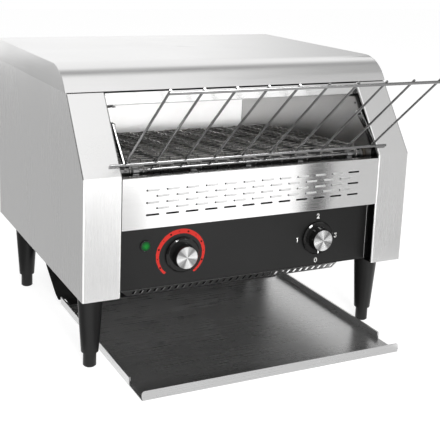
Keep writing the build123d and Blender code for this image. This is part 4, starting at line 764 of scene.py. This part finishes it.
marks = Soup()
for digit, (across, above) in DIGIT_PLACES.items():
    start_x = SELECTOR.x / MM + across
    start_z = SELECTOR.z / MM + above
    stroke(marks, [(start_x + DIGIT_SCALE * x, start_z + DIGIT_SCALE * z) for x, z in DIGITS[digit]])
marks.piece("selector_numbers", "white_print", "casing")

# ---------------------------------------------------------------- pointers of the knobs
SKIRT_D = 10.5
POINTER_LIFT = 0.5
POINTER_OUTLINE = ((15.9, 0.75), (17.0, 0.8), (20.5, 0.8), (21.4, 0.5))
SPEED_REST = -62
SELECTOR_REST = -90


def pointer(name, knob, body, angle):
    """Raised light bar on a knob's skirt."""
    soup = Soup()
    centre = middle(knob)
    base = Vector((centre.x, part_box(knob)[0].y + SKIRT_D * MM, centre.z))
    way = Vector((cos(radians(angle)), 0, sin(radians(angle))))
    side = Vector((-way.z, 0, way.x))
    edges = []
    for radius, half in POINTER_OUTLINE:
        point = base + way * radius * MM
        edges.append((point - side * half * MM, point + side * half * MM))
    soup.strip(edges, Y_WAY * -POINTER_LIFT * MM)
    soup.piece(name, "white_print", body)


pointer("speed_pointer", "speed_knob", "speed_dial", SPEED_REST)
pointer("selector_pointer", "selector_knob", "selector_dial", SELECTOR_REST)

# ---------------------------------------------------------------- bright cut edge of the control panel
RIM_R = 0.4
RIM_IN = 0.9
RIM_BACK = 0.15
RIM_STEPS = 12

rim = Soup()
panel_low, panel_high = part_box("control_panel")
rim_x = panel_high.x - RIM_IN * MM
rim_y = FRONT + (PANEL_D + RIM_BACK) * MM
path = []
for step in range(RIM_STEPS + 1):
    path.append(Vector((rim_x, rim_y, panel_low.z + (panel_high.z - panel_low.z) * step / RIM_STEPS)))
rim.tube(path, RIM_R * MM, 10)
rim.piece("panel_rim", "bright_wire", "casing")

# ---------------------------------------------------------------- heater coils
TUBE_R = 5.5 * MM
COIL_R = 3.2 * MM
COIL_WIRE_R = 0.55 * MM
COIL_END = 20 * MM
COIL_TURNS = 70
TURN_STEPS = 8


def coils(name, node):
    """Resistance wire wound inside each of a node's three quartz tubes."""
    soup = Soup()
    low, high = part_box(node)
    first = Vector((0, low.y + TUBE_R, high.z - TUBE_R))
    last = Vector((0, high.y - TUBE_R, low.z + TUBE_R))
    steps = COIL_TURNS * TURN_STEPS
    for centre in (first, (first + last) / 2, last):
        path = []
        for step in range(steps + 1):
            angle = 2 * pi * step / TURN_STEPS
            x = low.x + COIL_END + (high.x - low.x - 2 * COIL_END) * step / steps
            path.append(Vector((x, centre.y + COIL_R * cos(angle), centre.z + COIL_R * sin(angle))))
        soup.tube(path, COIL_WIRE_R, 5)
    soup.piece(name, "coil_wire", "casing")


coils("upper_coils", "upper_heaters")
coils("lower_coils", "lower_heaters")

# ---------------------------------------------------------------- screws of the lid and the rear panel
HEAD_R = 3.5
HEAD = [
    (1.9, -8.5), (1.9, 0.1), (HEAD_R, 0.1), (HEAD_R, 0.9), (3.3, 1.4),
    (2.7, 1.85), (1.9, 2.0), (1.45, 2.0), (1.3, 0.8),
]
SOCKET_ROW = 7
LID_SCREWS = (-1, -0.5, 0, 0.5, 1)
BASE_SCREWS = (-1, 0, 1)


def hex_socket(row, angle):
    """Six-sided shape of the rings inside a screw's socket, round elsewhere."""
    if row < SOCKET_ROW:
        return 1.0
    return 1 / cos((angle + radians(30)) % radians(60) - radians(30))


screws = Soup()
screw_low, screw_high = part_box("cover_screws")
screw_span = screw_high.x - HEAD_R * MM
lid_row = (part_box("top_cover")[1].y, screw_high.z - HEAD_R * MM, LID_SCREWS)
base_row = (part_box("rear_panel")[1].y, screw_low.z + HEAD_R * MM, BASE_SCREWS)
head = [(radius * MM, height * MM) for radius, height in HEAD]
for seat, z, shares in (lid_row, base_row):
    for share in shares:
        screws.lathe(head, Vector((share * screw_span, seat, z)), Z_WAY, X_WAY, shape=hex_socket)
screws.piece("socket_screws", "bright_wire", "casing", ("cover_screws",), sharp=30)

# ---------------------------------------------------------------- studio
BACKDROP = 1.0
AMBIENT = 0.55
FLOOR_GLOW = 0.82
FLOOR_REACH = 6.0


def make_world():
    """White to the camera, a studio with soft dark zones in reflections, softer on diffuse surfaces."""
    world = bpy.data.worlds.new("studio")
    bpy.context.scene.world = world
    studio = Tree(world)
    maths = studio.maths

    def ramp(value, start, end, low=0.0, high=1.0):
        """Soft step from low to high while a value goes from start to end."""
        values = {"Value": value, "From Min": start, "From Max": end, "To Min": low, "To Max": high}
        return studio.node("ShaderNodeMapRange", values, interpolation_type="SMOOTHSTEP").outputs[0]

    def product(first, *others):
        """All the values multiplied."""
        for value in others:
            first = maths("MULTIPLY", first, value)
        return first

    # The zones' limits are parts of a unit direction: x to the right, y to the back and z up.
    generated = studio.node("ShaderNodeTexCoord").outputs["Generated"]
    x, y, z = studio.node("ShaderNodeSeparateXYZ", {0: generated}).outputs
    from_gap = maths("ABSOLUTE", maths("SUBTRACT", y, 0.2))
    overhead = product(maths("SUBTRACT", 1.0, ramp(from_gap, 0.02, 0.3)), ramp(z, 0.2, 0.5, 0.0, 0.64))
    right = product(ramp(x, 0.4, 0.56), ramp(y, 0.34, 0.12), ramp(y, -0.75, -0.55))
    right = product(right, ramp(z, 0.0, 0.3, 0.0, 0.57))
    behind = product(ramp(x, 0.4, 0.6), ramp(y, 0.3, 0.5), ramp(z, 0.6, 0.3, 0.0, 0.42))
    dark = maths("MAXIMUM", overhead, maths("MAXIMUM", right, behind))
    reflected = maths("SUBTRACT", BACKDROP, dark)

    rays = studio.node("ShaderNodeLightPath").outputs
    straight = maths("MAXIMUM", rays["Is Camera Ray"], rays["Is Transmission Ray"])
    by_gloss = {0: rays["Is Glossy Ray"], 2: AMBIENT, 3: reflected}
    level = studio.node("ShaderNodeMix", by_gloss, data_type="FLOAT").outputs[0]
    level = studio.node("ShaderNodeMix", {0: straight, 2: level, 3: BACKDROP}, data_type="FLOAT").outputs[0]
    background = studio.tree.nodes["Background"]
    studio.feed(background.inputs["Color"], (1, 1, 1, 1))
    studio.feed(background.inputs["Strength"], level)


def area_light(name, place, aim, size, watts):
    """Soft square lamp that faces a point, not seen in reflections."""
    data = bpy.data.lights.new(name, "AREA")
    data.size = size
    data.energy = watts
    lamp = bpy.data.objects.new(name, data)
    bpy.context.scene.collection.objects.link(lamp)
    lamp.location = place
    lamp.rotation_euler = (Vector(aim) - Vector(place)).to_track_quat("-Z", "Y").to_euler()
    lamp.visible_glossy = False
    return lamp


def gloss_light(name, place, aim, size, watts, nodes):
    """Softbox that lights the given nodes only, and shows in their gloss."""
    lamp = area_light(name, place, aim, size, watts)
    lamp.visible_glossy = True
    targets = bpy.data.collections.new(name + "_targets")
    for node in nodes:
        targets.objects.link(frame["nodes"][node])
    lamp.light_linking.receiver_collection = targets


def flat(name, corners, shader):
    """Four-cornered stage sheet."""
    data = bpy.data.meshes.new(name)
    data.from_pydata([tuple(corner) for corner in corners], [], [(0, 1, 2, 3)])
    made = bpy.data.objects.new(name, data)
    bpy.context.scene.collection.objects.link(made)
    data.materials.append(shader.material)
    return made


def glow(shader, strength):
    """White emission of a given strength."""
    return shader.node("ShaderNodeEmission", {"Color": (1, 1, 1, 1), "Strength": strength}).outputs[0]


def make_floor():
    """Pale floor that shows white to the camera and in reflections, and keeps a soft shadow."""
    shader = Shader("floor", Base_Color=(0.3, 0.3, 0.3, 1), Roughness=0.9, Specular_IOR_Level=0.0)
    rays = shader.node("ShaderNodeLightPath").outputs
    both_rays = shader.maths("MAXIMUM", rays["Is Camera Ray"], rays["Is Glossy Ray"])
    lift = glow(shader, shader.maths("MULTIPLY", both_rays, FLOOR_GLOW))
    total = shader.node("ShaderNodeAddShader", {0: shader.bsdf.outputs[0], 1: lift})
    shader.feed(shader.tree.nodes["Material Output"].inputs["Surface"], total.outputs[0])
    corners = [(x * FLOOR_REACH, y * FLOOR_REACH, 0) for x, y in ((-1, -1), (1, -1), (1, 1), (-1, 1))]
    flat("floor", corners, shader)


def card(name, corners, level):
    """Grey studio card that only reflections see."""
    shader = Shader(name, Base_Color=(0, 0, 0, 1), Roughness=1.0, Specular_IOR_Level=0.0)
    shader.feed(shader.tree.nodes["Material Output"].inputs["Surface"], glow(shader, level))
    made = flat(name, corners, shader)
    made.visible_camera = False
    made.visible_diffuse = False
    made.visible_transmission = False
    made.visible_shadow = False


# Name, place, the point it faces, size in metres and watts.
LAMPS = (
    ("key", (-1.2, -2.2, 2.2), (0, 0, 0.2), 1.4, 18),
    ("fill", (-0.45, -2.2, 0.5), (0, 0.1, 0.3), 0.7, 110),
    ("top", (0.1, 0.3, 2.6), (0, 0, 0.2), 1.8, 14),
)

LEGS = ["front_left_leg", "front_right_leg", "rear_left_leg", "front_left_foot", "front_right_foot"]

# The same, and the nodes that the softbox lights.
SOFTBOXES = (
    ("knob_box", (1.0, -1.25, 1.15), (0, -0.15, 0.15), 0.45, 70, BLACK_GLOSS_PARTS),
    ("knob_top", (-0.3, -0.95, 1.4), (0, -0.15, 0.15), 0.4, 45, BLACK_GLOSS_PARTS),
    ("rack_box", (0.7, -0.7, 1.9), (0, -0.1, 0.35), 0.7, 18, ["feed_rack"]),
    ("leg_box", (0.35, -2.2, 0.5), (0, -0.1, 0.1), 0.5, 5, LEGS),
)

# Name, brightness and the four corners in millimetres.
CARDS = (
    ("left_card", 0.45, ((-2400, 0, 2), (-262, 0, 2), (-262, 3200, 2), (-2400, 3200, 2))),
    ("strip_card", 0.0, ((322, -400, 8), (380, -400, 8), (400, -400, 220), (326, -400, 220))),
    ("right_card", 0.6, ((390, -402, 8), (1300, -402, 8), (1300, -402, 1500), (560, -402, 1500))),
    ("right_floor_card", 0.5, ((300, -402, 4), (1300, -402, 4), (1300, -190, 4), (300, -190, 4))),
    ("lip_card", 0.72, ((-200, -76, 1), (-200, -170, 1), (200, -170, 1), (200, -76, 1))),
    ("front_card", 0.7, ((-260, -200, 3), (-60, -200, 3), (225, -950, 3), (-60, -950, 3))),
    ("far_left_card", 0.15, ((-1300, -800, 3), (-1300, 1200, 3), (-1300, 1200, 1300), (-1300, -800, 1300))),
    ("far_right_card", 0.15, ((1500, -390, 3), (1500, 1600, 3), (1500, 1600, 1500), (1500, -390, 1500))),
)

make_world()
for lamp in LAMPS:
    area_light(*lamp)
for softbox in SOFTBOXES:
    gloss_light(*softbox)
make_floor()
for name, level, corners in CARDS:
    card(name, [at(*corner) for corner in corners], level)
